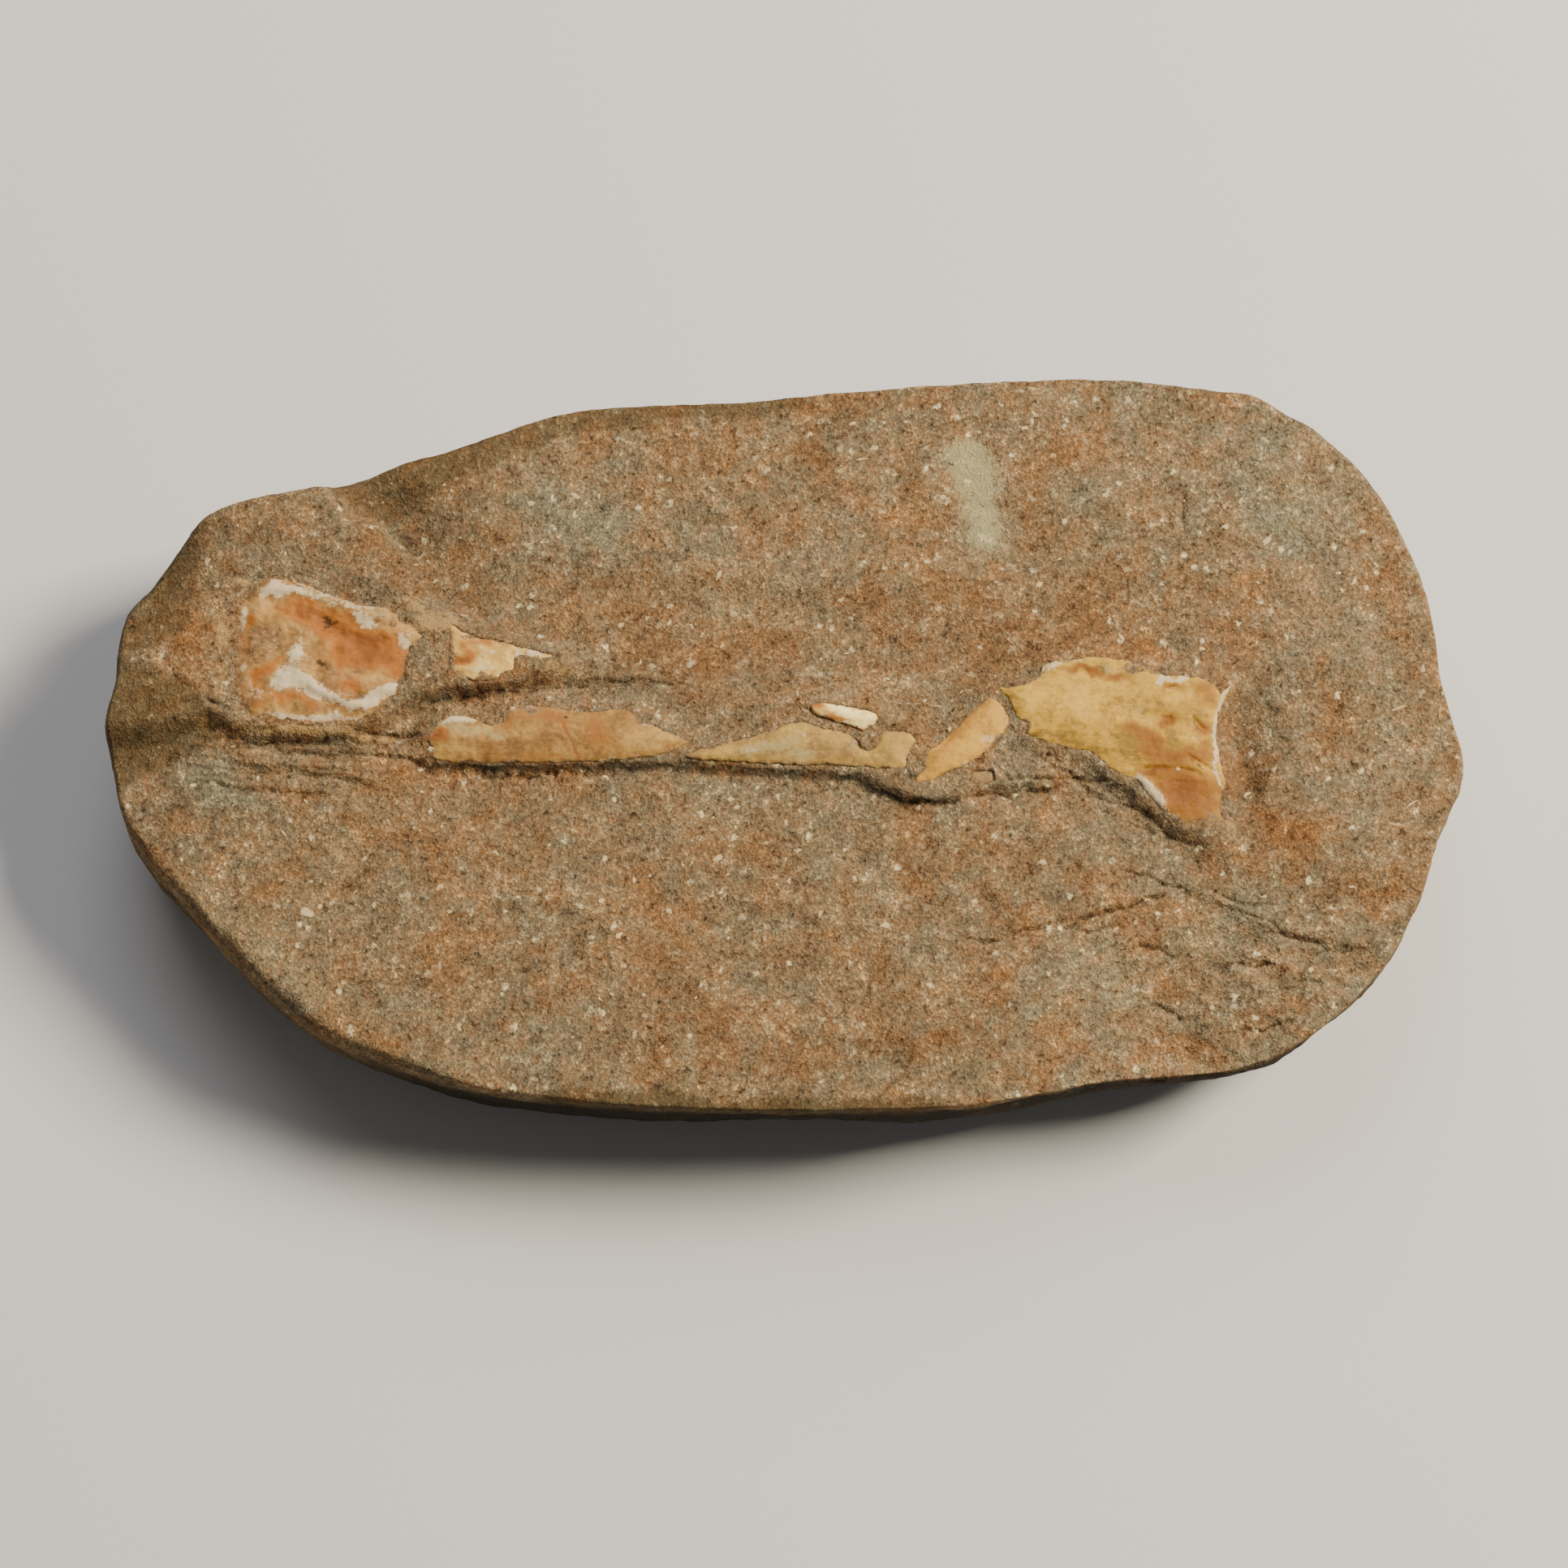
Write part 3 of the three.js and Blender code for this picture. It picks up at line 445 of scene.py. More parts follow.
bones = {
    "bone_joint_end": {
        "flush": (-0.6, 0.8), "seat": 1.0, "sunk": 0.5, "cover": 1.8, "lap": 0.4, "sandWidth": 0.4,
        "sandGain": (1.03, 0.9, 0.74), "edge": 25.47, "crown": 0.5, "reach": 3.9, "tilt": (-0.012, 0.01),
        "grain": -16, "rough": 0.3, "slot": "bone_stained",
        "ground": ("#7f5a34", "#9c7440", "#bd9252", "#a86628"),
        "lumps": [
            (-53.6, 12.2, 6.4, 2.2, -24, -0.55), (-57, 13.9, 1.6, 0.8, -35, -0.35),
            (-64, 12, 1.9, 1.8, 0, -0.45), (-60.8, 10, 1.2, 2.6, 0, 0.3), (-62.4, 6.6, 2, 1.4, 0, 0.25),
            (-53.2, 4.7, 1.3, 0.5, 0, -0.3), (-57.6, 8.5, 1.3, 0.45, -8, -0.25),
            (-53.5, 7.5, 1, 0.25, -8, -0.15), (-49.4, 5.6, 1.6, 0.8, 10, 0.3),
            (-67.6, 11, 1.4, 4, 0, -0.4), (-47, 9, 1.2, 2.4, 0, -0.2),
        ],
        "lines": [
            ([(-65.8, 18.4), (-62, 18.5), (-58, 17.5), (-53, 15.8), (-49.4, 15.6)], 1.0, 0.55),
            ([(-59.6, 6.2), (-57.2, 5), (-54, 3.8), (-51.8, 3.3)], 0.8, 0.45),
            ([(-46, 15), (-44.2, 13.9), (-42.7, 12.9)], 0.22, 0.35),
        ],
        "tone": [
            (-65, 15.8, 2, 0.8, 0, 0.5), (-62.4, 13, 1.4, 1.4, 0, 0.3), (-57, 11, 3, 1.2, 0, 0.25),
            (-63, 2.8, 2, 0.6, 0, 0.4), (-50.4, 6.7, 1.5, 0.8, 0, 0.6), (-45, 12.2, 2.6, 1.4, 0, 0.6),
            (-48.4, 13.6, 1.6, 0.8, -20, 0.5), (-56.6, 6.6, 2.4, 0.8, 0, 0.3),
        ],
        "grey": [
            (-60, 17.8, 4.4, 0.8, -10, 0.8), (-60.8, 9.8, 1.1, 2.6, 0, 0.8),
            (-62.6, 6.8, 1.9, 1.3, 20, 0.9), (-51.6, 15.6, 2.4, 0.9, -14, 0.8), (-58, 2, 3, 0.6, 0, 0.6),
            (-64, 9.8, 1.6, 0.8, 0, 0.6), (-52, 1.6, 3, 0.6, 0, 0.6), (-67.8, 15.8, 0.8, 1.4, 0, 0.5),
        ],
        "stain": [
            (-56.4, 13.4, 4.6, 2.2, -22, 1.1), (-50.6, 10.2, 4.2, 2.2, -16, 1.3),
            (-46.8, 8.2, 1.1, 1.8, 0, 1.5), (-59.6, 15.6, 2.8, 1.0, -16, 1.0),
            (-64.6, 8, 2.2, 0.9, 35, 1.0), (-66.8, 14.3, 1.1, 1, 0, 0.7), (-61.6, 4.4, 3.6, 0.7, 4, 0.7),
            (-59.3, 3.7, 1.2, 0.7, 0, 0.8), (-55, 9.6, 3, 1.4, 0, 0.6), (-53.6, 5.8, 2.4, 0.9, 0, 0.7),
            (-65.6, 6, 1, 2, 0, 0.5), (-67.4, 11.4, 1.2, 1.6, 0, 0.7), (-66.6, 3.4, 1.6, 0.8, 0, 0.7),
            (-51.6, 12.1, 3, 0.45, -6, 1.2),
        ],
        "chalk": [
            (-63.6, 18.3, 2.6, 1.1, 0, 1.2), (-52.5, 14.2, 1.5, 0.7, -20, 1.2),
            (-47.4, 11.8, 0.7, 1.3, 0, 1.0), (-59.2, 6.1, 1.6, 0.9, -20, 0.8),
            (-62.8, 6.2, 1.4, 0.9, 0, 0.5), (-60.6, 9.6, 0.8, 2, 0, 0.5), (-49.3, 5.5, 1.6, 0.6, 14, 1.1),
            (-51.6, 3.6, 1.1, 0.8, 0, 0.9), (-67.7, 15.6, 0.7, 1.5, 0, 0.7),
            (-68.3, 10.8, 0.4, 1.6, 0, 0.5), (-57.6, 2.1, 2.6, 0.4, 0, 0.6),
            (-66.4, 6.2, 0.6, 0.6, 0, 0.4), (-68.3, 14, 0.9, 1.6, 0, 0.7), (-67.6, 8, 0.8, 1.4, 0, 0.65),
            (-66, 5, 1.3, 0.8, 0, 0.55),
        ],
        "chalkLines": [
            ([(-64.5, 18.5), (-61, 18.2), (-58, 17.4), (-54, 16.1), (-50, 15.4)], 0.9, 0.5),
            ([(-60.7, 11.8), (-61.6, 9.4), (-62.3, 7.4), (-63.4, 5)], 1.1, 0.55),
            ([(-61.6, 7.6), (-59.4, 6), (-57, 4.7), (-54.3, 3.6), (-52.2, 3.9), (-50, 5.4)], 0.8, 0.85),
            ([(-66, 2.6), (-61, 1.9), (-56, 1.6), (-51, 1.9)], 0.5, 0.7),
            ([(-46, 15), (-44.2, 13.9), (-42.7, 12.9)], 0.22, 1.0),
        ],
        "grime": [
            (-56.8, 13.9, 1.5, 0.6, -35, 0.9), (-61.6, 18.9, 0.7, 0.3, 0, 0.7),
            (-57.7, 8.5, 1.3, 0.4, -8, 0.9), (-53.5, 7.5, 1, 0.25, -8, 0.8),
            (-53.2, 4.6, 1.3, 0.5, 0, 0.7), (-46, 12.4, 0.6, 0.6, 0, 0.5), (-68.2, 12, 0.8, 4, 0, 0.3),
            (-61, 9, 0.5, 0.4, 0, 0.5),
        ],
        "crust": [
            (-64.1, 12, 1.7, 1.7, 0, 1.1), (-69.4, 9, 1.6, 8, 0, 1.1), (-66.6, 10.5, 1.6, 2.0, 0, 0.45),
            (-68.2, 3.4, 1.8, 2.0, 0, 0.9), (-66.8, 18, 1, 1.6, 0, 0.6), (-52, 1.2, 4, 0.7, 0, 0.5),
            (-49, 14.6, 1.2, 0.7, 0, 0.5),
        ],
    },
    "bone_upper_splint": {
        "flush": (-0.2, 0.98), "seat": 1.2, "cover": 0.1, "lap": 0.05, "sandWidth": 0.05, "edge": 25.1,
        "crown": 0.28, "reach": 2.4, "tilt": (-0.02, 0), "grain": -10, "rough": 0.14,
        "slot": "bone_stained", "ground": ("#a8824a", "#cca250", "#e4c06e", "#a8682e"),
        "tone": [(-37, 11.6, 4, 0.6, 0, -0.4), (-37, 8.4, 3, 1.5, 0, 0.4)],
        "grey": [(-37.6, 9.4, 2.4, 1.4, 0, 0.5)],
        "stain": [
            (-39.9, 9.6, 1.9, 0.8, 10, 1.2), (-38.4, 11.4, 2.6, 0.7, 0, 0.8), (-41, 9, 1, 1, 0, 0.5),
            (-36.4, 7.2, 0.9, 0.5, 0, 0.6),
        ],
        "chalk": [
            (-37.4, 8, 2, 1.1, 0, 0.5), (-31.6, 10.4, 2, 0.5, -18, 0.9), (-36.6, 10.4, 2, 0.5, 0, 0.4),
        ],
        "chalkLines": [([(-33.5, 8.2), (-33.4, 10.6)], 0.25, 1.0)],
        "grime": [(-37.2, 9.1, 0.25, 0.2, 0, 0.9)],
        "crust": [
            (-35, 12, 2, 0.4, -10, 0.5), (-30, 9.4, 1.4, 0.5, -20, 0.5), (-41.8, 10.6, 0.6, 2.4, 0, 0.8),
            (-37, 7.1, 3, 0.5, 0, 0.8), (-39, 12.4, 2.6, 0.6, -8, 0.7),
        ],
    },
    "bone_lower_shaft": {
        "flush": (-0.3, 0.95), "sunk": 0.2, "cover": 0.6, "edge": 23.76, "crown": 0.66, "reach": 4.5,
        "tilt": (0.004, 0.02), "grain": -2, "rough": 0.12, "slot": "bone",
        "ground": ("#7c592e", "#986f39", "#b48e4c", "#98602c"),
        "lumps": [
            (-36.6, 3, 1.6, 1.3, 0, -0.5), (-40.4, 2.2, 2.4, 0.8, 0, 0.2), (-31, 3.4, 2, 0.7, 0, -0.15),
        ],
        "lines": [([(-28, 1.7), (-26.8, -0.4), (-26, -2.4)], 0.12, -0.15)],
        "tone": [
            (-14.4, 0, 4, 1.6, -10, 0.8), (-19, -0.8, 3, 1.4, 0, 0.3), (-42, -1.4, 2, 1.2, 0, 0.3),
            (-24, 2.8, 3, 0.6, 0, 0.3),
        ],
        "grey": [
            (-38.6, 0.3, 2.6, 0.8, 0, 0.7), (-41, 2.1, 2.2, 1.0, 0, 0.9), (-35.6, -0.2, 1.5, 1, 0, 0.5),
            (-41.6, 1.6, 1.6, 1, 0, 0.7), (-25, 3.4, 3, 0.5, 0, 0.5),
        ],
        "stain": [
            (-43.4, 0, 1.4, 1, 0, 1.4), (-23.4, 0.2, 1.5, 1.5, 0, 0.8), (-31, -2.6, 9, 0.5, 0, 0.5),
            (-30, 2.4, 7, 0.9, 0, 0.6), (-27.4, 0.6, 1, 2, 20, 0.4), (-19, 3, 1.6, 0.8, -30, 0.6),
            (-35, 1.4, 1, 1, 0, 0.5),
        ],
        "stainLines": [([(-28.2, 2.2), (-27, 0), (-25.7, -2.9)], 0.22, 0.8)],
        "chalk": [
            (-41.2, 1.9, 2.2, 0.9, 0, 0.75), (-41.4, 2.3, 1.7, 0.7, 0, 1.1), (-39, 2.4, 1.2, 0.6, 0, 0.9),
            (-34.2, 3.9, 0.5, 0.4, 0, 0.9), (-25, 3.6, 2.6, 0.3, 0, 0.5),
            (-16.6, 1.4, 1.4, 0.4, -20, 0.5),
        ],
        "grime": [(-27.6, 2.2, 0.28, 0.25, 0, 1.5), (-36.6, 1.8, 0.6, 0.3, 0, 0.5)],
        "crust": [
            (-36.6, 3.2, 1.7, 1.3, 0, 1.3), (-31.8, 3.6, 1.8, 0.7, 0, 0.9), (-27, 3.8, 3, 0.5, 0, 0.5),
        ],
    },
    "bone_middle_shaft": {
        "flush": (0.2, 0.98), "cover": 0.1, "edge": 23.77, "crown": 0.5, "reach": 3.6, "tilt": (0, 0.03),
        "grain": 6, "rough": 0.1, "slot": "bone", "ground": ("#886838", "#a08042", "#ba9648", "#98602c"),
        "lumps": [(10, -0.9, 1.3, 0.8, 0, -0.55), (10.3, -1.3, 0.45, 0.3, 0, 0.5)],
        "lines": [([(9.2, -2), (8.2, -3.4), (8, -4.4)], 0.14, -0.2)],
        "tone": [(13.6, -1.6, 3, 1.6, 0, 0.3), (3, 0.6, 4, 0.8, 0, 0.2), (-8, -2, 2, 0.8, 0, 0.3)],
        "grey": [
            (-4.4, -1.8, 1.8, 0.7, 0, 1.2), (-0.6, -1, 3, 0.8, 6, 0.9), (2.2, -2.4, 2.6, 0.9, 0, 0.8),
        ],
        "stain": [(6.6, -2.8, 2.6, 0.7, 0, 0.4), (11, -3.4, 2, 0.5, 0, 0.4), (15.4, 0.4, 1, 0.5, 0, 0.4)],
        "chalk": [
            (-4.2, -1.8, 0.9, 0.4, 0, 0.8), (10.3, -1.3, 0.5, 0.3, 0, 1.5), (9, -3.3, 0.9, 0.3, 0, 0.6),
            (2.2, -0.2, 1.2, 0.2, -20, 0.6),
        ],
        "grime": [(9.9, -0.6, 1.2, 0.6, 0, 0.6)],
        "crust": [(10, -0.8, 1.4, 0.8, 0, 1.2), (-9, -1, 2, 0.5, 8, 0.6)],
    },
    "bone_chip": {
        "flush": (-0.3, 0.95), "cover": 0.0, "lap": 0.05, "sandWidth": 0.05, "edge": 24.28, "crown": 0.33,
        "reach": 1.5, "tilt": (-0.02, 0.04), "grain": -12, "rough": 0.14, "slot": "bone_pale",
        "ground": ("#d4a85a", "#ffe08a", "#fff0a8", "#b0702e"),
        # the first tone spot darkens the lower edge: painted shade
        "tone": [
            (6.4, 2.4, 2.4, 0.5, -16, -0.9), (8, 3, 2.4, 0.6, -14, 0.4), (4.4, 3.8, 1, 0.6, 0, -0.6),
        ],
        "grey": [(11, 1.7, 0.7, 0.6, 0, 0.6)],
        "stain": [
            (4.2, 3.7, 1.1, 0.6, -20, 1.1), (6.6, 2.2, 2, 0.35, -16, 0.7),
            (9.6, 1.4, 1.2, 0.35, -16, 0.6),
        ],
        "crust": [(11.2, 1.2, 0.8, 0.5, 0, 0.7)],
    },
    "bone_slanted_piece": {
        "flush": (-0.7, 0.7), "seat": 0.4, "cover": 0.15, "edge": 23.87, "crown": 0.5, "reach": 3.0,
        "tilt": (0.02, 0.03), "grain": 42, "rough": 0.1, "slot": "bone",
        "ground": ("#9a7434", "#c08e3a", "#d2a244", "#98602c"),
        "tone": [(24.6, 0.4, 3, 1.6, 42, 0.3), (20, -3, 3, 1, 42, 0.2)],
        "grey": [(26.6, -0.4, 1.4, 0.9, 45, 0.7)],
        "stain": [
            (24.6, 3.6, 2, 0.6, 44, 0.8), (21.4, 0, 3, 0.5, 46, 0.5), (18.4, -4.4, 2, 0.6, 30, 0.4),
        ],
        "chalk": [(25.4, -0.8, 1, 0.4, 40, 0.7), (24.6, -1, 0.8, 0.3, 40, 0.5)],
        "grime": [(17, -5.4, 1, 0.6, 0, 0.3)],
        "crust": [(27.2, -0.6, 1.2, 1, 45, 0.7)],
    },
    "bone_small_splinter": {
        "flush": (0.0, 1.0), "cover": -0.1, "lap": 0.05, "sandWidth": 0.05, "edge": 23.1, "crown": 0.17,
        "reach": 1.4, "tilt": (0, 0.04), "grain": 0, "rough": 0.1, "slot": "bone",
        "ground": ("#7c6442", "#8c7048", "#a08050", "#80502a"),
        "grey": [(24.6, -5, 2, 1, 0, 0.5)],
        "stain": [(24.6, -5.2, 2, 1, 0, 0.3)],
        "grime": [(24.6, -5, 2, 1, 0, 0.3)],
        "crust": [(24, -5.4, 1.8, 0.6, 0, 0.9), (26, -4.4, 0.8, 0.5, 0, 0.7)],
    },
    "bone_flared_end": {
        "flush": (-0.9, 0.1), "seat": 0.45, "sunk": 0.1, "edge": 23.96, "crown": 0.66, "reach": 5.4,
        "tilt": (-0.008, 0.02), "grain": -4, "rough": 0.16, "slot": "bone_stained",
        "ground": ("#8f6d2c", "#b98f34", "#d2a646", "#905d22"),
        "lumps": [
            (47.8, 2.1, 1.2, 0.7, 0, -0.35), (50.6, -7.4, 3.6, 2, -30, -0.35),
            (49, 6.8, 2.6, 0.6, 0, 0.25), (48.6, 6, 1.4, 0.6, -20, -0.3), (34, 8.8, 1.6, 0.7, 10, 0.2),
            (38, 8, 2.6, 0.5, -6, -0.2), (44, 3, 2, 1.2, 0, -0.15), (52.6, -11.6, 2, 1, 0, -0.4),
        ],
        "lines": [
            ([(44.6, -4.3), (47, -4.2), (50, -4.4), (52, -5)], 0.3, -0.35),
            ([(50.4, -2.6), (52, -3.6), (53.8, -4.6)], 0.2, -0.35),
            ([(51, 2.4), (51.6, 1.5), (52.6, 0.7)], 0.25, -0.4),
            ([(44.2, -5.2), (45.6, -6.8), (47.8, -9.6)], 0.7, 0.3),
        ],
        "tone": [
            (34, 5, 6, 3, 0, 0.65), (38.4, 6.4, 3, 0.7, 0, 0.4), (36, -0.6, 5, 1, -20, -0.35),
            (46, -2, 4, 2.4, 0, -0.5), (52, 4, 2, 3, 0, -0.2), (42, 0, 3, 2, 0, -0.3),
            (31, 1, 1.4, 1.4, 0, 0.2), (48, 4.6, 3, 0.8, 0, 0.2),
        ],
        "grey": [
            (44, 3.4, 3.4, 1.6, 0, 0.5), (40, 8.6, 2, 0.6, 0, 0.6), (37, 3.4, 1.6, 0.8, 0, 0.4),
            (44.8, 7.2, 1.8, 0.9, 0, 0.5), (45.6, -6.8, 1.2, 1.6, 40, 0.6),
        ],
        "stain": [
            (50.6, -7.4, 4.4, 3.2, -30, 1.5), (37.6, 8.3, 2.6, 0.5, 0, 1.1), (41, 7.4, 2.4, 0.6, -6, 0.9),
            (45.6, -0.6, 2.2, 1.4, -20, 0.9), (44, 1, 2, 0.9, 0, 0.6), (48.6, -2.6, 5, 1, 0, 0.8),
            (52.6, 5.8, 1.4, 1.8, 20, 0.8), (48.4, 6.4, 1.2, 0.6, 0, 0.8), (47.9, 2.1, 1.2, 0.7, 0, 1.0),
            (52.8, 0.8, 1.2, 0.9, 0, 0.8), (52.6, -1.6, 1.6, 1, 0, 0.7), (50, 4, 1.2, 1.4, 0, 0.5),
            (46, -4.6, 3, 0.4, 0, 0.9),
        ],
        "chalk": [
            (33.6, 8.9, 1.7, 0.8, 14, 0.75), (40, 9.9, 1, 0.25, 0, 0.7), (49, 7.3, 2.2, 0.3, 0, 0.85),
            (50.8, -0.5, 0.7, 0.3, -40, 0.9), (49.8, -4.3, 0.6, 0.4, 0, 1.0),
            (44.6, -5.6, 1, 0.6, -30, 1.0), (47.2, 6.9, 0.5, 0.6, 0, 0.8), (49.4, 6.2, 0.9, 0.3, 0, 0.7),
        ],
        "chalkLines": [
            ([(44.8, -6), (46.2, -7.6), (47.9, -9.9)], 1.0, 0.75),
            ([(55.7, 6.8), (55, 5.6), (54.3, 3.4), (53.7, 0), (53.8, -2.4), (54.1, -4.6),
              (54.6, -7)], 0.3, 0.8),
        ],
        "grime": [
            (47.9, 2.1, 0.9, 0.5, 0, 0.45), (51.8, 1.4, 1, 0.25, -50, 0.9), (39.6, 8.7, 0.7, 0.5, 0, 0.8),
            (52.2, -3.7, 1.8, 0.22, -32, 0.9), (46.6, -4.4, 2, 0.2, 0, 0.5),
            (46.4, 1.9, 0.3, 0.8, 20, 0.4),
        ],
        "crust": [
            (43.6, 8.6, 1.6, 0.9, 0, 0.9), (47.4, 8.3, 2.4, 0.5, 0, 0.8), (53.6, 8, 1.8, 0.6, 0, 0.8),
            (52.6, -11.6, 2.6, 1.2, 0, 1.0), (30.4, 1.2, 0.5, 0.9, 0, 0.7), (31.6, 8, 1, 0.5, 0, 0.4),
        ],
    },
}
bones = {name: {**commonBone, **values} for name, values in bones.items()}
boneOutlines = {name: footOutline(name) for name in bones}


def sectionRadius(node, height, count=720):
    # how far the CAD block reaches at a height, in every direction of the squashed frame
    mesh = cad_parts[node].data
    places = np.array([v.co for v in mesh.vertices]) / mm
    mesh.calc_loop_triangles()
    corners = places[np.array([t.vertices[:] for t in mesh.loop_triangles])]
    crossings = []
    for a, b in ((0, 1), (1, 2), (2, 0)):
        low, high = corners[:, a], corners[:, b]
        cut = (low[:, 2] - height) * (high[:, 2] - height) < 0
        t = ((height - low[cut, 2]) / (high[cut, 2] - low[cut, 2]))[:, None]
        crossings.append(low[cut] + t * (high[cut] - low[cut]))
    points = np.concatenate(crossings)[:, :2] / (block["halfLength"], block["halfWidth"])
    angle = np.arctan2(points[:, 1], points[:, 0])
    order = np.argsort(angle)
    angle, radius = angle[order], np.hypot(*points[order].T)
    at = np.linspace(-math.pi, math.pi, count, endpoint=False)
    wide = np.interp(at, angle, radius, period=2 * math.pi)
    soft = sum(np.roll(wide, k) for k in (-2, -1, 0, 1, 2)) / 5  # takes the corners off
    return at, soft


def ringsOfBlock(count):
    # girth outline, evenly spaced, with its angles in the squashed frame
    at, radius = sectionRadius("matrix_block", block["bedHeight"] * block["girthLevel"])
    size = (block["halfLength"], block["halfWidth"])
    outline = np.stack([radius * np.cos(at) * size[0], radius * np.sin(at) * size[1]], 1)
    outline = walk([tuple(p) for p in outline], np.hypot(*np.diff(outline, axis=0).T).sum() / count)
    angle = np.arctan2(outline[:, 1] / size[1], outline[:, 0] / size[0])
    return outline, outwardNormals(outline), angle


def raggedShift(x, y):
    sway, size = block["raggedness"]
    return (sway * fractal(x, y, 0, size, 4, 9.3), sway * fractal(x, y, 0, size, 4, 21.7))


def laminaSteps(x, y):  # thin beds that crop out one above the other: position in steps, weight, riser
    for outline, heading, spacing, riser in block["laminae"]:
        a = math.radians(heading)
        wobble = 1.5 * fractal(x * 0.6, y, 0, 6, 3, 41.0) + 0.35 * fractal(x, y, 0, 1.1, 2, 43.0)
        step = (x * math.cos(a) + y * math.sin(a) + wobble) / spacing
        weight = smooth((depthInside(outline, x, y, 3) + 0.8 * fractal(x, y, 0, 2.4, 2, 45.0)) / 1.2 + 0.3)
        yield step, weight, riser


def brokenLedges(x, y, broken):  # ledges of the broken corner, counted from its edge
    return np.maximum(broken + 3.2 * fractal(x * 0.7, y, 0, 7, 4, 2.2), 0) / block["breakLedge"]


def topHeight(x, y):
    b = block
    slow, quick = b["swell"]
    z = b["bedHeight"] + slow[0] * np.sin(x / slow[1] + slow[2]) * np.cos(y / slow[3])
    z = z + quick[0] * np.sin(x / quick[1] + y / quick[2])
    wobble = 0.5 * fractal(x, y, 0, 5, 3, 4.1)
    for outline, rise, slope in b["terraces"]:
        z = z + rise * smooth((depthInside(outline, x, y) + wobble) / slope + 0.5)
    shiftX, shiftY = raggedShift(x, y)
    near = np.zeros(x.shape)  # 1 along the ledges, 0 away from them
    for path, depth, highSide, lowSide, fade in b["scarps"] + b["fineLines"]:
        distance, side, along, length = measureTo(path, x + shiftX, y + shiftY)
        strength = smooth(along / fade) * smooth((length - along) / fade)
        drop = strength * bell(distance / np.where(side > 0, highSide, lowSide))
        z = z - depth * drop
        near = np.maximum(near, drop * min(1, depth))
    for slope, *lines in b["facets"]:
        beyond = np.min([(x - px) * math.cos(math.radians(a)) + (y - py) * math.sin(math.radians(a))
                         for px, py, a in lines], 0)
        z = z - slope * np.maximum(beyond + 0.6 * fractal(x, y, 0, 4, 3, 33.0), 0)
    for step, weight, riser in laminaSteps(x, y):
        z = z + weight * riser * (step % 1 - smooth((step % 1) * 5) + 0.3)
    # thin beds of the stone show as ledges where it steps down
    thick = b["bedThickness"]
    wavy = 0.9 * fractal(x, y, 0, 4, 3, 12.1)
    bed = z / thick + wavy
    ledged = (np.floor(bed) + smooth((bed % 1) * 2.5) - 0.5 - wavy) * thick
    lump, size = b["edgeRoughness"]
    z = z + b["bedShare"] * near * (ledged - z) + lump * near * fractal(x, y, 0, size, 3, 27.0)
    z = z + blobs(b["dents"], x, y)
    broken = depthInside(b["break"], x, y)
    ledges = brokenLedges(x, y, broken)
    stepped = (np.floor(ledges) + smooth((ledges % 1) * 5)) * b["breakLedge"]
    fall = b["breakStep"] * smooth(broken / 0.5) + b["breakFall"] * (0.35 * broken + 0.65 * stepped)
    return z - np.where(broken > 0, np.clip(fall, 0, b["breakDepth"]), 0)


# relief of the stone that the light shows: size of the lumps and their height, and the small pits
surface = {
    "lumps": (9, 0.16),
    "knobs": (2.6, 0.17),
    "grains": (1.1, 0.08),
    "pits": 420,
    "pitSize": (0.25, 0.75),
    "pitDepth": (0.12, 0.4),
    "pitRow": {"start": (-40.4, -4.4), "end": (-25.6, -4.7), "sway": (0.5, 0.2), "count": 11, "size": 0.32,
               "depth": 0.6},
}


def stoneRelief(x, y, z, rough=1.0):
    total = 0
    for key, gain, seed in (("lumps", 1, 1.3), ("knobs", rough, 7.9), ("grains", rough, 5.5)):
        size, height = surface[key]
        total = total + gain * height * fractal(x, y, z, size, 2, seed)
    return total


def pitDepths(x, y):
    total = np.zeros(x.shape)
    row = surface["pitRow"]
    spots = []
    for share in np.linspace(0, 1, row["count"]):
        px, py = (a + share * (b - a) + scatter.uniform(-sway, sway)
                  for a, b, sway in zip(row["start"], row["end"], row["sway"]))
        spots.append((px, py, row["size"], row["depth"]))
    for _ in range(surface["pits"]):
        spots.append((scatter.uniform(-84, 84), scatter.uniform(-46, 46),
                      scatter.uniform(*surface["pitSize"]), scatter.uniform(*surface["pitDepth"])))
    for px, py, size, depth in spots:
        near = (np.abs(x - px) < 2.2 * size) & (np.abs(y - py) < 2.2 * size)
        total[near] += depth * bell(np.hypot(x[near] - px, y[near] - py) / size)
    return total


seam = {  # where stone and bone meet
    "span": 2.8,  # how far from the bone the stone still changes
    "probe": 0.3,  # distance over which the side is felt
    "softness": 0.6,  # of the change from the flush side to the open one
    "rise": 1.6,  # width of the slope up to the flush edge
    "ledge": (1.2, 0.35),  # width of the slope on the open side, and how far below the edge it ends
    "above": 0.03,  # of the stone over the bone's edge
    "dip": (1.4, 0.4),  # depth of the stone under the bone, and the width of its slope
}


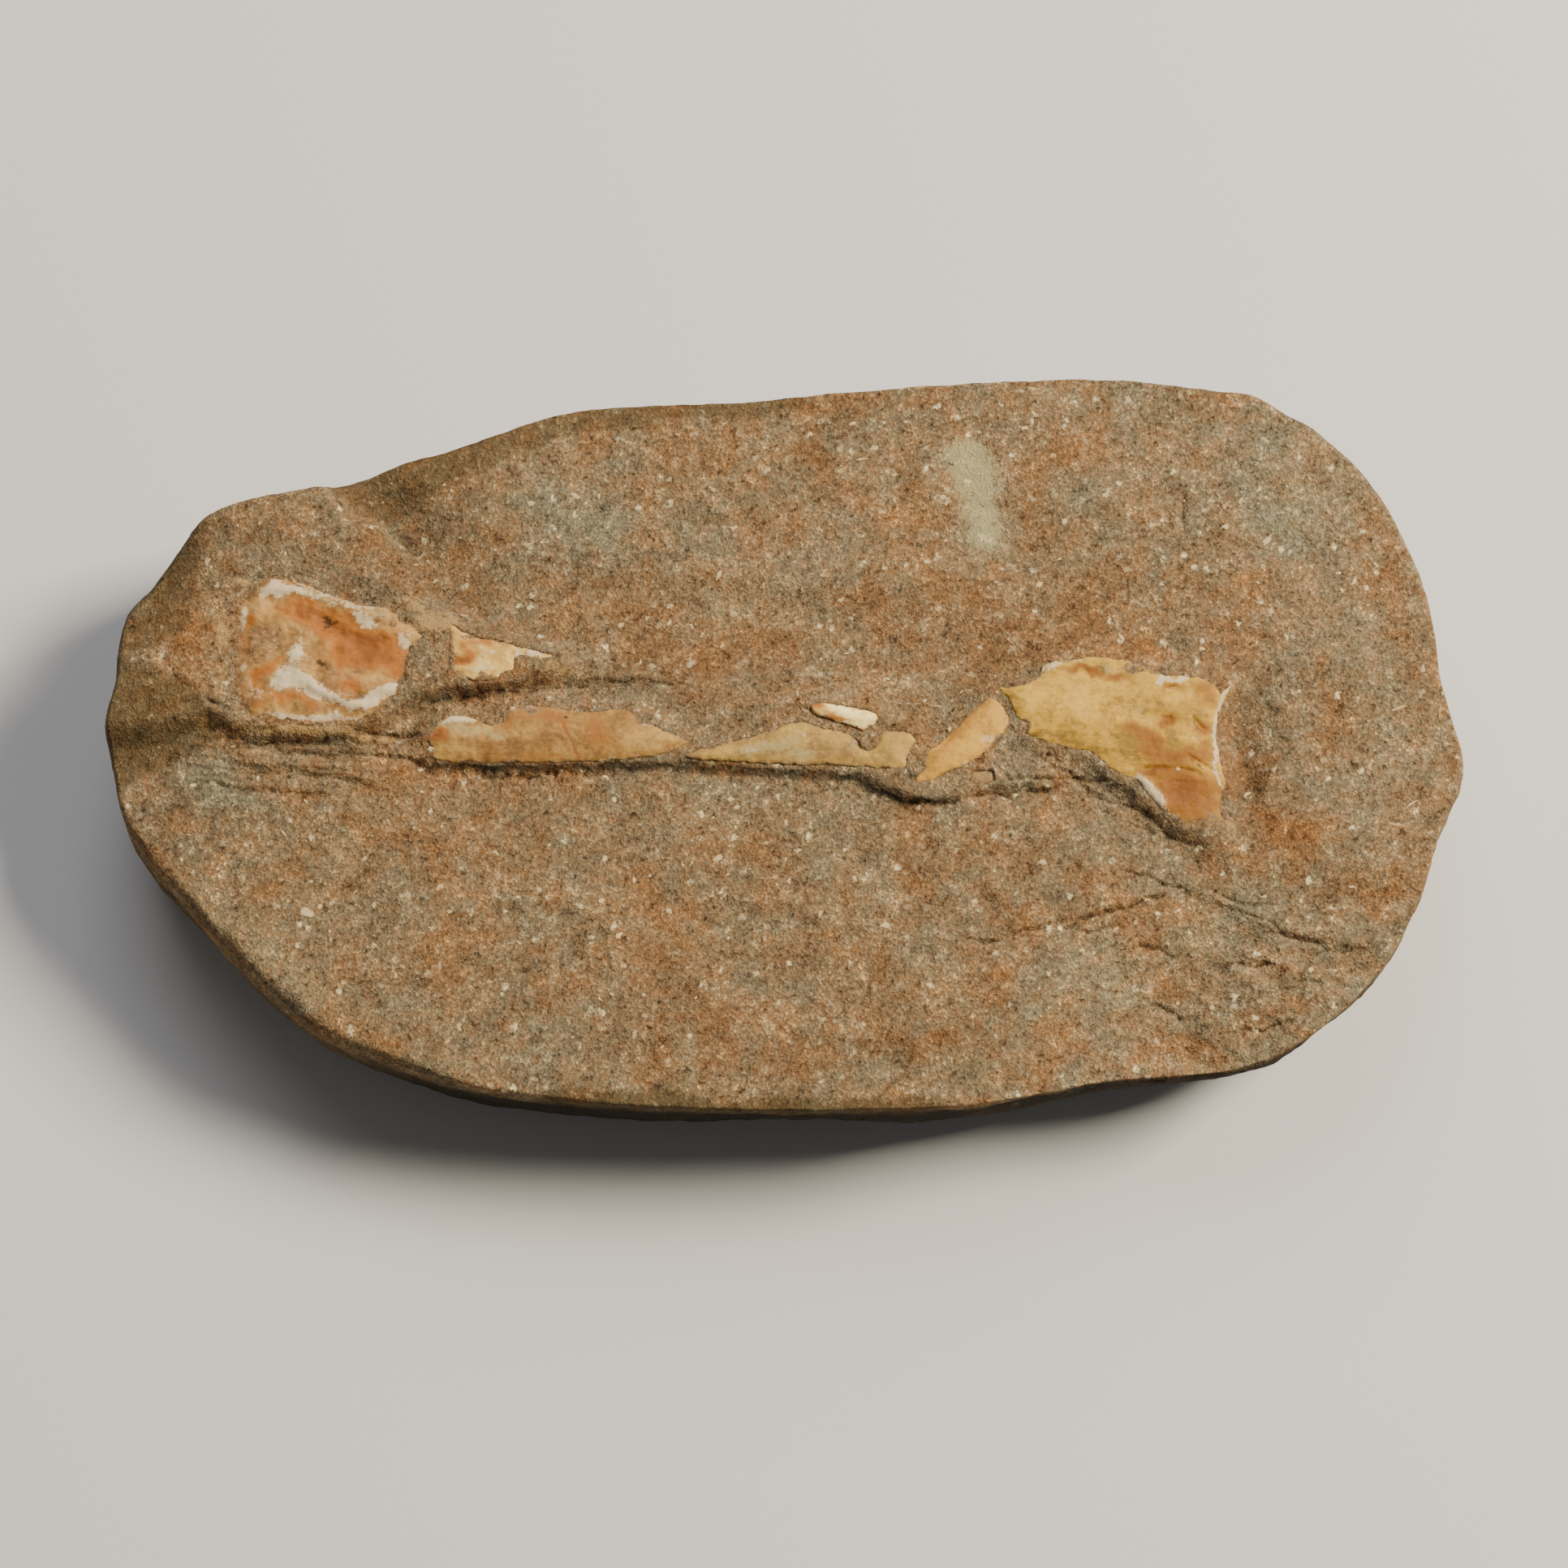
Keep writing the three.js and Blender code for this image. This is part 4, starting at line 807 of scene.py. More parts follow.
def meetBones(x, y, z):
    # on a bone's flush side the stone laps onto its edge, on the other a thin gap shows
    for node, v in bones.items():
        outline = boneOutlines[node]
        inside = depthInside(outline, x, y, 3)
        near = np.flatnonzero(inside > -seam["span"])
        nx, ny, away = x[near], y[near], -inside[near]
        probe = seam["probe"]
        slopeX = -depthInside(outline, nx + probe, ny, 4) - away
        slopeY = -depthInside(outline, nx, ny + probe, 4) - away
        facing = (slopeX * v["flush"][0] + slopeY * v["flush"][1]) / probe + v["seat"]
        flush = smooth((facing + 0.25) / seam["softness"])
        middle = sum(p[1] for p in outline) / len(outline)
        edge = v["edge"] + v["tilt"][1] * (ny - middle) + seam["above"]
        wobble = np.maximum(away + 0.5 * fractal(nx, ny, 0, 1.6, 3, 61.0), 0)
        rise = flush * bell(wobble / seam["rise"]) * np.maximum(edge - z[near], 0)
        width, below = seam["ledge"]
        ledge = (1 - flush) * bell(wobble / width) * np.maximum(edge - below - z[near], 0)
        lap = flush * np.maximum(0.2 + 1.3 * fractal(nx, ny, 0, 2.2, 3, 63.0), 0) * v["lap"]
        depth, width = seam["dip"]
        z[near] += rise + ledge - depth * smooth((-away - v["cover"] - lap) / width)
    return z


density = {  # distance between the block's points: along lines, beside them, elsewhere, under bones
    "line": 0.22, "fine": 0.34, "coarse": 0.62, "under": 2.2, "foot": 2.4,
    "around": 660, "down": 24,  # points around the block and rows down its side
    "alongLine": 0.36, "besideLine": 0.9, "besideBone": 0.45,  # how wide the finer strips are
    "intoBone": (0.7, 1.0),  # the strip under a bone's edge that gets no points
    "crispBeds": 4,  # the first four lots of thin beds, close to the bone, get the finest points
    "rim": 0.4,  # least distance from the rim
}


def blockPoints(rim):
    low, high = rim.min(0), rim.max(0)
    d = density
    shallow, deep = d["intoBone"]
    paths = [line[0] for line in block["scarps"] + block["fineLines"]]
    beds = [lamina[0] for lamina in block["laminae"][:d["crispBeds"]]]
    chosen = []
    for kind in ("line", "fine", "coarse", "under"):
        points = jitteredGrid(low, high, d[kind])
        x, y = points.T
        shiftX, shiftY = raggedShift(x, y)
        toBone = np.max([depthInside(o, x, y, 2) for o in boneOutlines.values()], 0)
        toLine = np.min([measureTo(path, x + shiftX, y + shiftY, 2)[0] for path in paths], 0)
        inBeds = np.max([depthInside(bed, x, y, 2) for bed in beds], 0) > -0.2
        crisp = ((toLine < d["alongLine"]) | inBeds) & (toBone < shallow)
        near = ~crisp & (toBone < shallow) & ((toBone > -d["besideBone"]) | (toLine < d["besideLine"]))
        rest = ~crisp & ~near & (toBone < shallow)
        points = points[{"line": crisp, "fine": near, "coarse": rest, "under": toBone >= deep}[kind]]
        edge = depthInside([tuple(p) for p in rim[::6]], *points.T)
        chosen.append(points[edge > d["rim"]])
    return np.concatenate(chosen)


# where the stone is stained and where shade is painted on it, by listed spots and strokes, and how noise
# breaks them up
stainsAndShade = {
    "sway": (3.2, 7),  # how far noise shifts the spots, and the size of its lumps
    "ironShares": (0.75, 0.95, 9),  # of the spots and of noise, and the size of its lumps
    "lightNoise": (0.5, 12),
    "lowerFlankShade": {"top": 18.6, "fade": 3},  # painted shade in the rind's dark colour covers the flanks up to here, darker towards the foot
    "paintedSouthShade": {"top": 21.5, "fade": 3, "strength": 2.8},  # and painted shade darkens the south flank below this height
    "sideIron": 0.8,
    "sideTone": 0.7,
    # painted shade: a dark line along each ledge that is deep and sharp enough, within a softer one: its
    # width on the high and on the low side, then how dark each gets, at most and for a millimetre of depth
    "ledgeShadeLines": {
        "least": 0.22, "widest": 2.2, "high": 0.15, "low": 0.26, "soft": 0.8,
        "dark": (0.62, 1.4), "softDark": (0.2, 0.16),
    },
    "beds": (0.42, 0.16, 0.11),  # darkness, place on the riser and width of the painted shade line under each thin bed
    "brokenLedges": (0.7, 0.12, 0.09),  # the same painted shade in the broken corner
    "iron": [  # rusty stone (above 0) and grey-green (below): x, y, half sizes, turn, strength
        (-74, 11, 3.4, 8, 0, 0.9), (-78, 20, 4, 4, 0, 0.35), (-68, -13.5, 2.6, 1.6, 20, 0.5),
        (-62, -17, 3, 1.8, 0, 0.3), (-52, -4, 8, 1.6, -4, 0.5), (-34, -5, 10, 1.4, 0, 0.5),
        (-33, 7.6, 6, 1.4, 12, 0.6), (-20, 9, 4, 2.5, 60, 0.4), (-24, 37, 3, 3, 0, 0.7),
        (-18, 28, 2, 6, 10, 0.4), (3.5, 36, 4, 2.5, -30, 1.0), (9, 32, 3, 2.6, 0, 0.8),
        (16, 23, 7, 1.6, -48, 0.6), (31, 31, 2, 4, 0, 0.6), (37, 38, 4, 1.8, 20, 0.7),
        (38.5, 18.5, 4.4, 4, 0, 1.0), (34, 25, 2.4, 2, 0, 0.5), (17, -39, 5, 1.8, 10, 0.8),
        (27, -30, 6, 2, 58, 0.3), (31, -9.5, 5, 2.6, 0, 0.5), (60, -10, 4, 2, -50, 0.8),
        (64.5, -13, 4.5, 3, 20, 1.0), (77, 19, 8, 2, -80, 0.7), (-46, -29, 7, 2.4, 20, 0.4),
        (-17, -30, 4, 5, 0, 0.4), (-4, -14, 6, 2.4, -40, 0.6), (-32, -13, 12, 4, 0, 0.3),
        (12, 11, 24, 4, -4, 0.35), (-6, 10, 7, 1.8, 0, 0.4), (47, 22, 5, 3, 0, 0.3),
        (57, 20, 3, 3, 0, 0.3), (-31, 16, 7, 3, 0, 0.35), (68, 0, 3, 3, 0, 0.3), (22, -14, 8, 3, 0, 0.3),
        (-58, 26, 8, 4, 0, 0.3), (-25, 28, 8, 5, -20, -1.0), (-13, 26, 3, 2.6, 0, -0.6),
        (-8, 25, 3, 2, 0, -0.5), (-33, 31, 5, 3, 0, -0.5), (0, 31, 4, 2, 20, -0.4),
        (36, 32, 4, 2, 0, -0.7), (27, 41, 3, 2, 0, -0.5), (65, 28, 8, 5, 0, -0.9),
        (57, 39, 9, 3, -8, -0.8), (-73, -5, 5, 3.4, -40, -1.0), (-66, -9, 4, 2, -30, -0.4),
        (-55, -21, 7, 3, 0, -0.6), (-66, -24, 6, 4, -40, -0.5), (-42, -36, 14, 4, -14, -0.6),
        (-4, -7.4, 8, 1.5, 0, -0.8), (17, -26, 1.6, 4, 0, -0.7), (-5, -24, 5, 2, 0, -0.4),
        (33, -20, 3, 3, 0, -0.6), (58, -24, 9, 4, -20, -0.6), (62, -33, 8, 5, 20, -0.5),
        (31, -31, 8, 1.8, 60, -0.7), (38.4, -31.6, 4, 5, 0, -0.9), (48, -31, 6.5, 1.8, -50, 0.8),
        (39, -41.8, 5, 1.4, 5, 0.7), (50, -41.5, 9, 1.6, 12, -0.9), (53, -24.6, 4.5, 3, 0, -0.9),
        (60, -35, 5, 2, 30, 0.5), (66, -6, 5, 2.6, 0, -0.8), (46, -16.5, 6, 2.4, -20, -0.6),
        (51, -13, 4, 2, 0, -0.3), (-30, -22, 5, 3, 0, -0.4), (8, -19, 2, 2, 0, -0.3),
        (78, 6, 4, 4, 0, -0.3), (-10, 18, 5, 2, 10, -0.4), (62, 8, 4, 3, 0, -0.4),
        (-16, -41, 6, 2, 0, 0.4), (2, -40, 6, 3, 0, 0.3),
    ],
    "light": [  # paler (above 0) and darker (below), some of them painted shade and light
        (23.2, 36.6, 3.7, 3.4, 0, 1.1), (24, 31, 3.3, 4.6, 0, 1.1), (25.4, 26.4, 2.3, 3, 0, 0.8),
        (26.5, 24, 2.4, 4, -20, 0.5), (65, 28, 9, 7, 0, 0.5), (55, 38, 10, 4, 0, 0.5),
        (64, 14, 10, 5, 0, 0.25), (40, -29, 8, 5, -30, 0.4), (52, -23, 5, 3, 0, 0.6),
        (0, 22, 14, 4, 5, 0.25), (-22, 27, 10, 4, 0, 0.25), (75, 2, 5, 12, 0, 0.3),
        (-58.6, -21.6, 1.6, 1.2, -20, 0.6), (12, -23, 1.2, 1.2, 0, 0.5), (38.5, 18, 4, 4, 0, -0.5),
        (-43, 24, 8, 8, -30, -0.5), (-64, 25, 10, 5, 0, -0.4), (4, 35, 5, 3, -30, -0.4),
        # painted shade: (57.5, -1) darkens a dent, (17, 10) the trough north of the shafts
        (-34, 13, 8, 2.6, -10, -0.35), (57.5, -1, 2, 9, 6, -0.7), (10, -41, 16, 3, 0, -0.4),
        (17, -39, 4, 2, 0, -0.4), (59, -10, 5, 2.5, -40, -0.4), (17, 10, 20, 3.5, -6, -0.25),
        # painted shade: (-12, 8.6), (50, -12.6), (41, -6.4), (-35, 6.1) and (13, -7) darken the ledges,
        # (-48.6, 25.8), (-47.5, 31) and (-57.5, 28.6) the hollows beside the knob
        (-70, -13, 8, 4, -40, -0.3), (-12, 8.6, 10, 1.6, 0, -0.4), (50, -12.6, 5.5, 1.8, -38, -0.5),
        (41, -6.4, 6, 1.3, -24, -0.5), (-35, 6.1, 9, 1.2, 9, -0.8), (-44, 7.6, 2.2, 3, -20, -0.6),
        (-48.6, 25.8, 3.4, 1.2, -50, -1.4), (-47.5, 31, 3, 1, -60, -0.8), (13, -7, 6, 1.5, -20, -0.4),
        (-57.5, 28.6, 2.6, 1.1, -30, -0.8), (-79, 6, 4, 7, 0, 0.5), (-77, 22, 5, 6, 0, -0.5),
        # painted light: this spot lightens the south-west bevel
        (-63, -29.5, 21, 3.2, -39, 0.5),
    ],
    "paintedShadowBands": [  # painted shadow along the foot of the long ledges: path, half width, strength
        ([(-45, -3.6), (-34, -3.8), (-25, -3.9), (-13, -3.7), (-5, -4.5), (4, -4.8), (8.5, -5.1),
          (12, -6.8), (15, -8.2), (21, -8.4)], 0.62, 2.1),
        ([(-46.5, 4.6), (-42, 5.2), (-36, 6.0), (-30, 6.7), (-22, 7.5), (-14, 7.3)], 0.9, 0.4),
        ([(36, -4), (41, -6.2), (46, -10.6), (52, -14), (57, -15.6)], 1.2, 0.2),
        ([(-72, 0.2), (-66, -1.2), (-56, -1), (-47, -1.6)], 0.7, 0.35),
    ],
    "boneDust": [  # cream and ochre dust of crushed bone beside the fragments
        (-44.2, 14.4, 2.4, 1.3, -20, 1.2), (-41.6, 14.4, 1.6, 0.8, -40, 0.7),
        (-46.6, 16.8, 2.0, 0.7, -24, 0.8), (-70.6, 13.6, 1.2, 3.4, 0, 0.9),
        (-70.4, 6.4, 1.0, 2.4, 0, 0.6), (-67.8, 19.4, 1.4, 0.7, 0, 0.8), (-59, 0.9, 8, 0.6, -1, 1.1),
        (-51, -0.2, 4, 0.5, 0, 0.7), (-66, -1.6, 3, 0.4, 8, 0.7), (-45.6, 4.6, 1.2, 0.7, 0, 0.4),
        (-28, 8.6, 3.4, 0.7, -8, 0.8), (-10.6, 0.4, 2, 0.5, 0, 0.6), (55.6, -11.4, 1.6, 1.0, 30, 0.7),
        (30, 9.2, 1.6, 0.5, 20, 0.6), (24, -4.2, 1.6, 0.7, 10, 0.5), (56, 5.6, 0.8, 1.8, 0, 0.5),
        (38, 10.6, 4, 0.5, 0, 0.5), (-22.6, -3.2, 9, 0.4, 0, 0.5),
    ],
    "rindAndShade": [  # brown weathered skin, and painted shade on the south and south-west rim: outline, softness, strength
        ([(-90, 14), (-83, 25), (-75, 34), (-72.5, 26), (-73.5, 18), (-75, 13), (-82, 10)], 2.0, 0.8),
        ([(-90, 12), (-78, 8.5), (-71, 3.5), (-70, -1), (-76, -3), (-84, -8), (-90, -6)], 2.0, 0.9),
        ([(-60, 40), (-58, 31), (-50, 27), (-40, 33), (-28, 38.6), (-14, 41), (4, 42), (4, 52),
          (-60, 50)], 2.4, 0.8),
        # these two are painted shade on the south-west and south rim
        ([(-82, -10), (-71, -20), (-58, -33), (-44, -41), (-30, -46), (-30, -60), (-90, -60)], 3.2, 0.3),
        ([(-30, -44.5), (0, -45.4), (20, -45.4), (20, -60), (-30, -60)], 1.4, 1.0),
    ],
}


def stoneMasks(x, y, z, isSide):
    v = stainsAndShade
    sway, size = v["sway"]
    near = sway * fractal(x, y, z, size, 3, 31.0)
    warpX, warpY = x + near, y + sway * fractal(x, y, z, size, 3, 47.0)
    share, rest, size = v["ironShares"]
    iron = blobs(v["iron"], warpX * 0.5 + x * 0.5, warpY * 0.5 + y * 0.5)
    iron = share * iron + rest * fractal(x, y, z, size, 5, 13.0)
    share, size = v["lightNoise"]
    paleAndShade = blobs(v["light"], 0.4 * warpX + 0.6 * x, 0.4 * warpY + 0.6 * y)
    paleAndShade = paleAndShade + share * fractal(x, y, z, size, 4, 19.0)
    rindAndShade = np.max([strength * smooth((depthInside(outline, x, y) + near * 0.5) / fade + 0.5)
                   for outline, fade, strength in v["rindAndShade"]], 0)
    # painted shade: the flanks take the rind's dark colour towards their foot
    lower = smooth((v["lowerFlankShade"]["top"] - z + near * 0.5) / v["lowerFlankShade"]["fade"])
    lower = lower * (1 - 0.9 * smooth((x - 15) / 15) * smooth((4 - y) / 26))  # little of it in the south-east
    rindAndShade = np.where(isSide, np.maximum(rindAndShade, lower), rindAndShade)
    # painted shade: the south and south-west flanks are darkened
    southShade = v["paintedSouthShade"]
    shade = southShade["strength"] * smooth((southShade["top"] - z) / southShade["fade"])
    paleAndShade = paleAndShade - np.where(isSide, shade * smooth((x + 62) / 20) * smooth((-y - 20) / 15), 0)
    ledgeShade = np.zeros(x.shape)
    shiftX, shiftY = raggedShift(x, y)
    # painted shadow along the foot of the long ledges
    paleAndShade = paleAndShade - np.where(isSide, 0, strokes(v["paintedShadowBands"], x + shiftX, y + shiftY))
    # painted shade in the crevices along the ledges
    line = v["ledgeShadeLines"]
    for path, depth, highSide, lowSide, fade in block["scarps"] + block["fineLines"]:
        if depth > line["least"] and lowSide < line["widest"]:
            distance, side, along, length = measureTo(path, x + shiftX, y + shiftY)
            ends = smooth(along / fade) * smooth((length - along) / fade)
            gaps = smooth(0.75 + 1.6 * fractal(x, y, 0, 2.2, 3, 71.0))
            narrow = gaps * bell(distance / np.where(side > 0, line["high"], line["low"]))
            wide = bell(distance / np.where(side > 0, line["soft"] * highSide, line["soft"] * lowSide))
            most, gain = line["dark"]
            softMost, softGain = line["softDark"]
            dark = min(most, gain * depth) * narrow + min(softMost, softGain * depth) * wide
            ledgeShade = np.maximum(ledgeShade, ends * dark)
    # painted shade at the foot of each little ledge, here and there
    gate = smooth(0.5 + 2.2 * fractal(x, y, 0, 3, 3, 73.0))
    dark, at, width = v["beds"]
    for step, weight, _ in laminaSteps(x, y):
        ledgeShade = np.maximum(ledgeShade, dark * gate * weight * bell((step % 1 - at) / width))
    broken = depthInside(block["break"], x, y)
    ledges = brokenLedges(x, y, broken)
    inBreak = smooth(broken / 1.5)
    # painted shade under the ledges of the broken corner
    gate = smooth(0.1 + 2.6 * fractal(x, y, 0, 4.5, 3, 75.0))
    dark, at, width = v["brokenLedges"]
    ledgeShade = np.maximum(ledgeShade, dark * gate * inBreak * (ledges > 0.5) * bell((ledges % 1 - at) / width))
    # in the broken corner each bed has its own stain and tone
    beds = 2 * smooth(2.4 * noise(np.floor(ledges) * 1.7, x / 14, y / 14) + 0.5) - 1
    iron = iron * (1 - 0.35 * inBreak) + 0.3 * inBreak * beds
    paleAndShade = paleAndShade + 0.25 * inBreak * (np.abs(beds) - 0.1)
    bands = fractal(x / 11, y / 11, z + 0.4 * near, 2.4, 3, 91.0)
    iron = iron + np.where(isSide, v["sideIron"] * bands, 0)
    bands = fractal(x / 9, y / 9, z + 0.4 * near, 1.5, 3, 93.0)
    paleAndShade = paleAndShade + np.where(isSide, v["sideTone"] * bands, 0)
    dust = np.where(isSide, 0, blobs(v["boneDust"], 0.25 * warpX + 0.75 * x, 0.25 * warpY + 0.75 * y))
    return {"iron": iron, "paleAndShade": paleAndShade, "rindAndShade": rindAndShade, "ledgeShade": np.where(isSide, 0, ledgeShade), "dust": dust}


sides = {  # the block's flanks, from the rim down to the foot
    "upperShare": 0.42,  # of the rows, above the widest line
    "beds": (0.7, 1.9),  # depth and size of the beds that weather back
    "facets": (0.6, 13),  # depth and size of the flat breaks
    "relief": 1.1,
    "outward": 0.12,
    "evenFoot": 14,  # how often the line of the foot is evened out, so that it has no folds
    "underside": (0.35, 0.5, 14),  # height of its hollow, its unevenness and the size of that
}


def towards(angle, direction, spread):  # 1 in one direction, fading out around it
    away = angle - direction
    return bell(np.arctan2(np.sin(away), np.cos(away)) / spread)


def sideRow(t, outline, outward, rimInset, footInset, girth, rimZ):  # t is 0 at the rim, 1 at the foot
    upper = sides["upperShare"]
    if t < upper:
        s = t / upper
        inset = rimInset * (1 - s) ** 2.2
        level = 1 - (1 - girth) * s ** 3
        lift = smooth(s * 1.5)
    else:
        s = (t - upper) / (1 - upper)
        inset = footInset * (1 - math.cos(s * math.pi / 2))
        level = girth * (1 - math.sin(s * math.pi / 2))
        lift = 1 - 0.8 * smooth(s * 2 - 1)
    height = rimZ * level
    place = outline - outward * inset[:, None]
    x, y = place.T
    depth, size = sides["beds"]
    beds = depth * np.abs(fractal(x / 7, y / 7, height, size, 3, 2.7))  # seven times as long as high
    depth, size = sides["facets"]
    facets = depth * np.abs(fractal(x, y, height, size, 2, 8.8))
    bumps = stoneRelief(x, y, height, sides["relief"])
    place = place + outward * (lift * (sides["outward"] + bumps - beds - facets))[:, None]
    if t == 1:
        height = height * 0
        for _ in range(sides["evenFoot"]):
            place = (np.roll(place, 1, 0) + place + np.roll(place, -1, 0)) / 3
    return np.column_stack([place, np.maximum(height, 0)])


def buildBlock(material):
    outline, outward, angle = ringsOfBlock(density["around"])
    worn, undercut = block["wornCorner"], block["undercut"]
    rimInset = block["rimInset"] + worn["inset"] * towards(angle, worn["angle"], worn["spread"])
    for direction, spread, extra in block["shoulders"]:
        rimInset = rimInset + extra * towards(angle, direction, spread)
    rimInset = rimInset * (1 + 0.5 * fractal(*outline.T, 0, 7, 5, 3.3))
    footInset = block["footInset"] + sum(h * np.sin(n * angle + s) for n, h, s in block["footLobes"])
    footInset = footInset + undercut["extra"] * bell((angle - undercut["angle"]) / undercut["spread"])
    girth = block["girthLevel"] + 0 * angle
    for direction, spread, higher in block["girthRises"]:
        girth = girth + higher * towards(angle, direction, spread)
    rim = outline - outward * rimInset[:, None]
    flat, topFaces = triangulate(rim, blockPoints(rim))
    x, y = flat.T
    rough = 1 + 0.8 * smooth(depthInside(block["break"], x, y) / 2)
    z = topHeight(x, y) + stoneRelief(x, y, 0, rough) - pitDepths(x, y)
    z = meetBones(x, y, z)
    count = len(outline)
    points = [np.stack([x, y, z], 1)]
    faces = list(topFaces)
    isSide = [np.zeros(len(x), bool)]
    ring, total = list(range(count)), len(x)
    for row in range(1, density["down"] + 1):
        t = row / density["down"]
        points.append(sideRow(t, outline, outward, rimInset, footInset, girth, z[:count]))
        after = list(range(total, total + count))
        faces += wallFaces(ring, after)
        isSide.append(np.full(count, True))
        ring, total = after, total + count
    foot = points[-1][:, :2]
    inner = jitteredGrid(foot.min(0), foot.max(0), density["foot"])
    inner = inner[depthInside([tuple(p) for p in foot], *inner.T) > density["foot"] / 2]
    under, underFaces = triangulate(foot, inner)
    ux, uy = under[count:].T
    height, uneven, size = sides["underside"]
    lift = np.maximum(height + uneven * fractal(ux, uy, 0, size, 3, 6.6), 0)
    points.append(np.column_stack([ux, uy, lift]))
    isSide.append(np.full(len(ux), True))
    rename = ring + list(range(total, total + len(ux)))
    faces += [tuple(rename[i] for i in reversed(face)) for face in underFaces]
    points = np.concatenate(points)
    masks = stoneMasks(*points.T, np.concatenate(isSide))
    makePiece("shelly_sandstone_block", points, faces, masks, material, "sandstone", "matrix_block")


# Shelly sandstone, naturally split and weathered: matt, speckled grain by grain, stained by iron,
# with white bits of shell and dark pores, and painted shade along its ledges and on its south side.
sandstone = {
    "grains": 0.3,
    "clumps": 0.9,
    "blotches": 3.0,
    "shares": (0.48, 1.2, 0.8),  # of grains, clumps and blotches in the lightness
    "grainColours": [(0.0, "#37281a"), (0.1, "#4e3b26"), (0.22, "#634e36"), (0.36, "#705a40"),
                     (0.5, "#7b6446"), (0.64, "#896f4f"), (0.78, "#9b805c"), (0.9, "#b89a6c"),
                     (1.0, "#e0c793")],
    "rustPatches": [(4.2, 3.0), (1.4, 2.0)],  # size of the patches that break the stain up, and how far
    "gains": [  # stain where it begins and where it is full, and what it does to red, green and blue
        (-0.12, -0.4, (0.87, 1.0, 1.1)), (-0.6, -0.95, (0.91, 1.02, 1.1)),
        (0.12, 0.4, (1.03, 0.88, 0.75)), (0.65, 1.0, (0.99, 0.83, 0.68)),
    ],
    "layers": [  # mask, how ragged its edge is, where it begins and is full, strength, colour
        ("paleAndShade", 1.6, 0.5, 1.0, 0.7, "#8e8761"),
        # the rind layer is weathered skin, and painted shade on the south rim and the lower flanks
        ("rindAndShade", 0.9, 0.2, 1.0, 0.62, "#42341a"),
        ("dust", 2.6, 0.3, 0.9, 0.75, "#b4915c"),
        # this layer is painted shade at the foot of ledges and in cracks
        ("ledgeShade", 1.0, 0.2, 0.85, 0.92, "#2e2113"),
    ],
    "shell": {"colour": "#e9d5a4", "size": 1.35, "chosen": (0.82, 0.97), "reach": (0.36, 0.1),
              "cleanAndOnRind": (0.9, 0.22)},
    "pores": {"colour": "#2a1d10", "size": 0.9, "depth": (0.39, 0.3), "strength": 0.8},
    "tone": (0.12, 1.34),  # brightness of the darkest and the lightest stone, the darkest where shade is painted
    "roughness": 0.88,
    "specular": 0.15,
    "bump": (0.6, 0.2),  # strength, and height of a grain
}


def raggedMask(tree, mask, source, raggedness, low, high, top):
    # the mask, its edge broken up by a noise, brought to 0..top between low and high
    ragged = addVariation(tree, source, raggedness, mask)
    return addNode(tree, "MapRange", {"Value": ragged, "From Min": low, "From Max": high, "To Max": top},
                   interpolation_type="SMOOTHSTEP").outputs["Result"]


def addGrains(tree, inMm, v):
    # sand grains, each with its own lightness, in clumps and blotches; gives the colour, the
    # grains' mosaic and a clump noise
    wobble = addNode(tree, "TexNoise", {"Vector": inMm, "Scale": 3.1, "Detail": 2.0}).outputs["Color"]
    bent = addNode(tree, "VectorMath", {0: wobble, 1: (0.4, 0.4, 0.4), 2: inMm},
                   operation="MULTIPLY_ADD").outputs[0]
    mosaic = addNode(tree, "TexVoronoi", {"Vector": bent, "Scale": 1 / v["grains"]})
    dice = addNode(tree, "SeparateColor", {"Color": mosaic.outputs["Color"]}).outputs[0]
    clump = addNode(tree, "TexNoise", {"Vector": bent, "Scale": 1 / v["clumps"], "Detail": 4.0,
                                       "Roughness": 0.78}).outputs[0]
    blotch = addNode(tree, "TexNoise", {"Vector": inMm, "Scale": 1 / v["blotches"], "Detail": 3.0,
                                        "Roughness": 0.6}).outputs[0]
    lightness = 0.5
    for source, share in zip((dice, clump, blotch), v["shares"]):
        lightness = addVariation(tree, source, share, lightness)
    ramp = addNode(tree, "ValToRGB", {"Fac": lightness})
    setRamp(ramp.color_ramp, v["grainColours"])
    return ramp.outputs["Color"], mosaic, clump


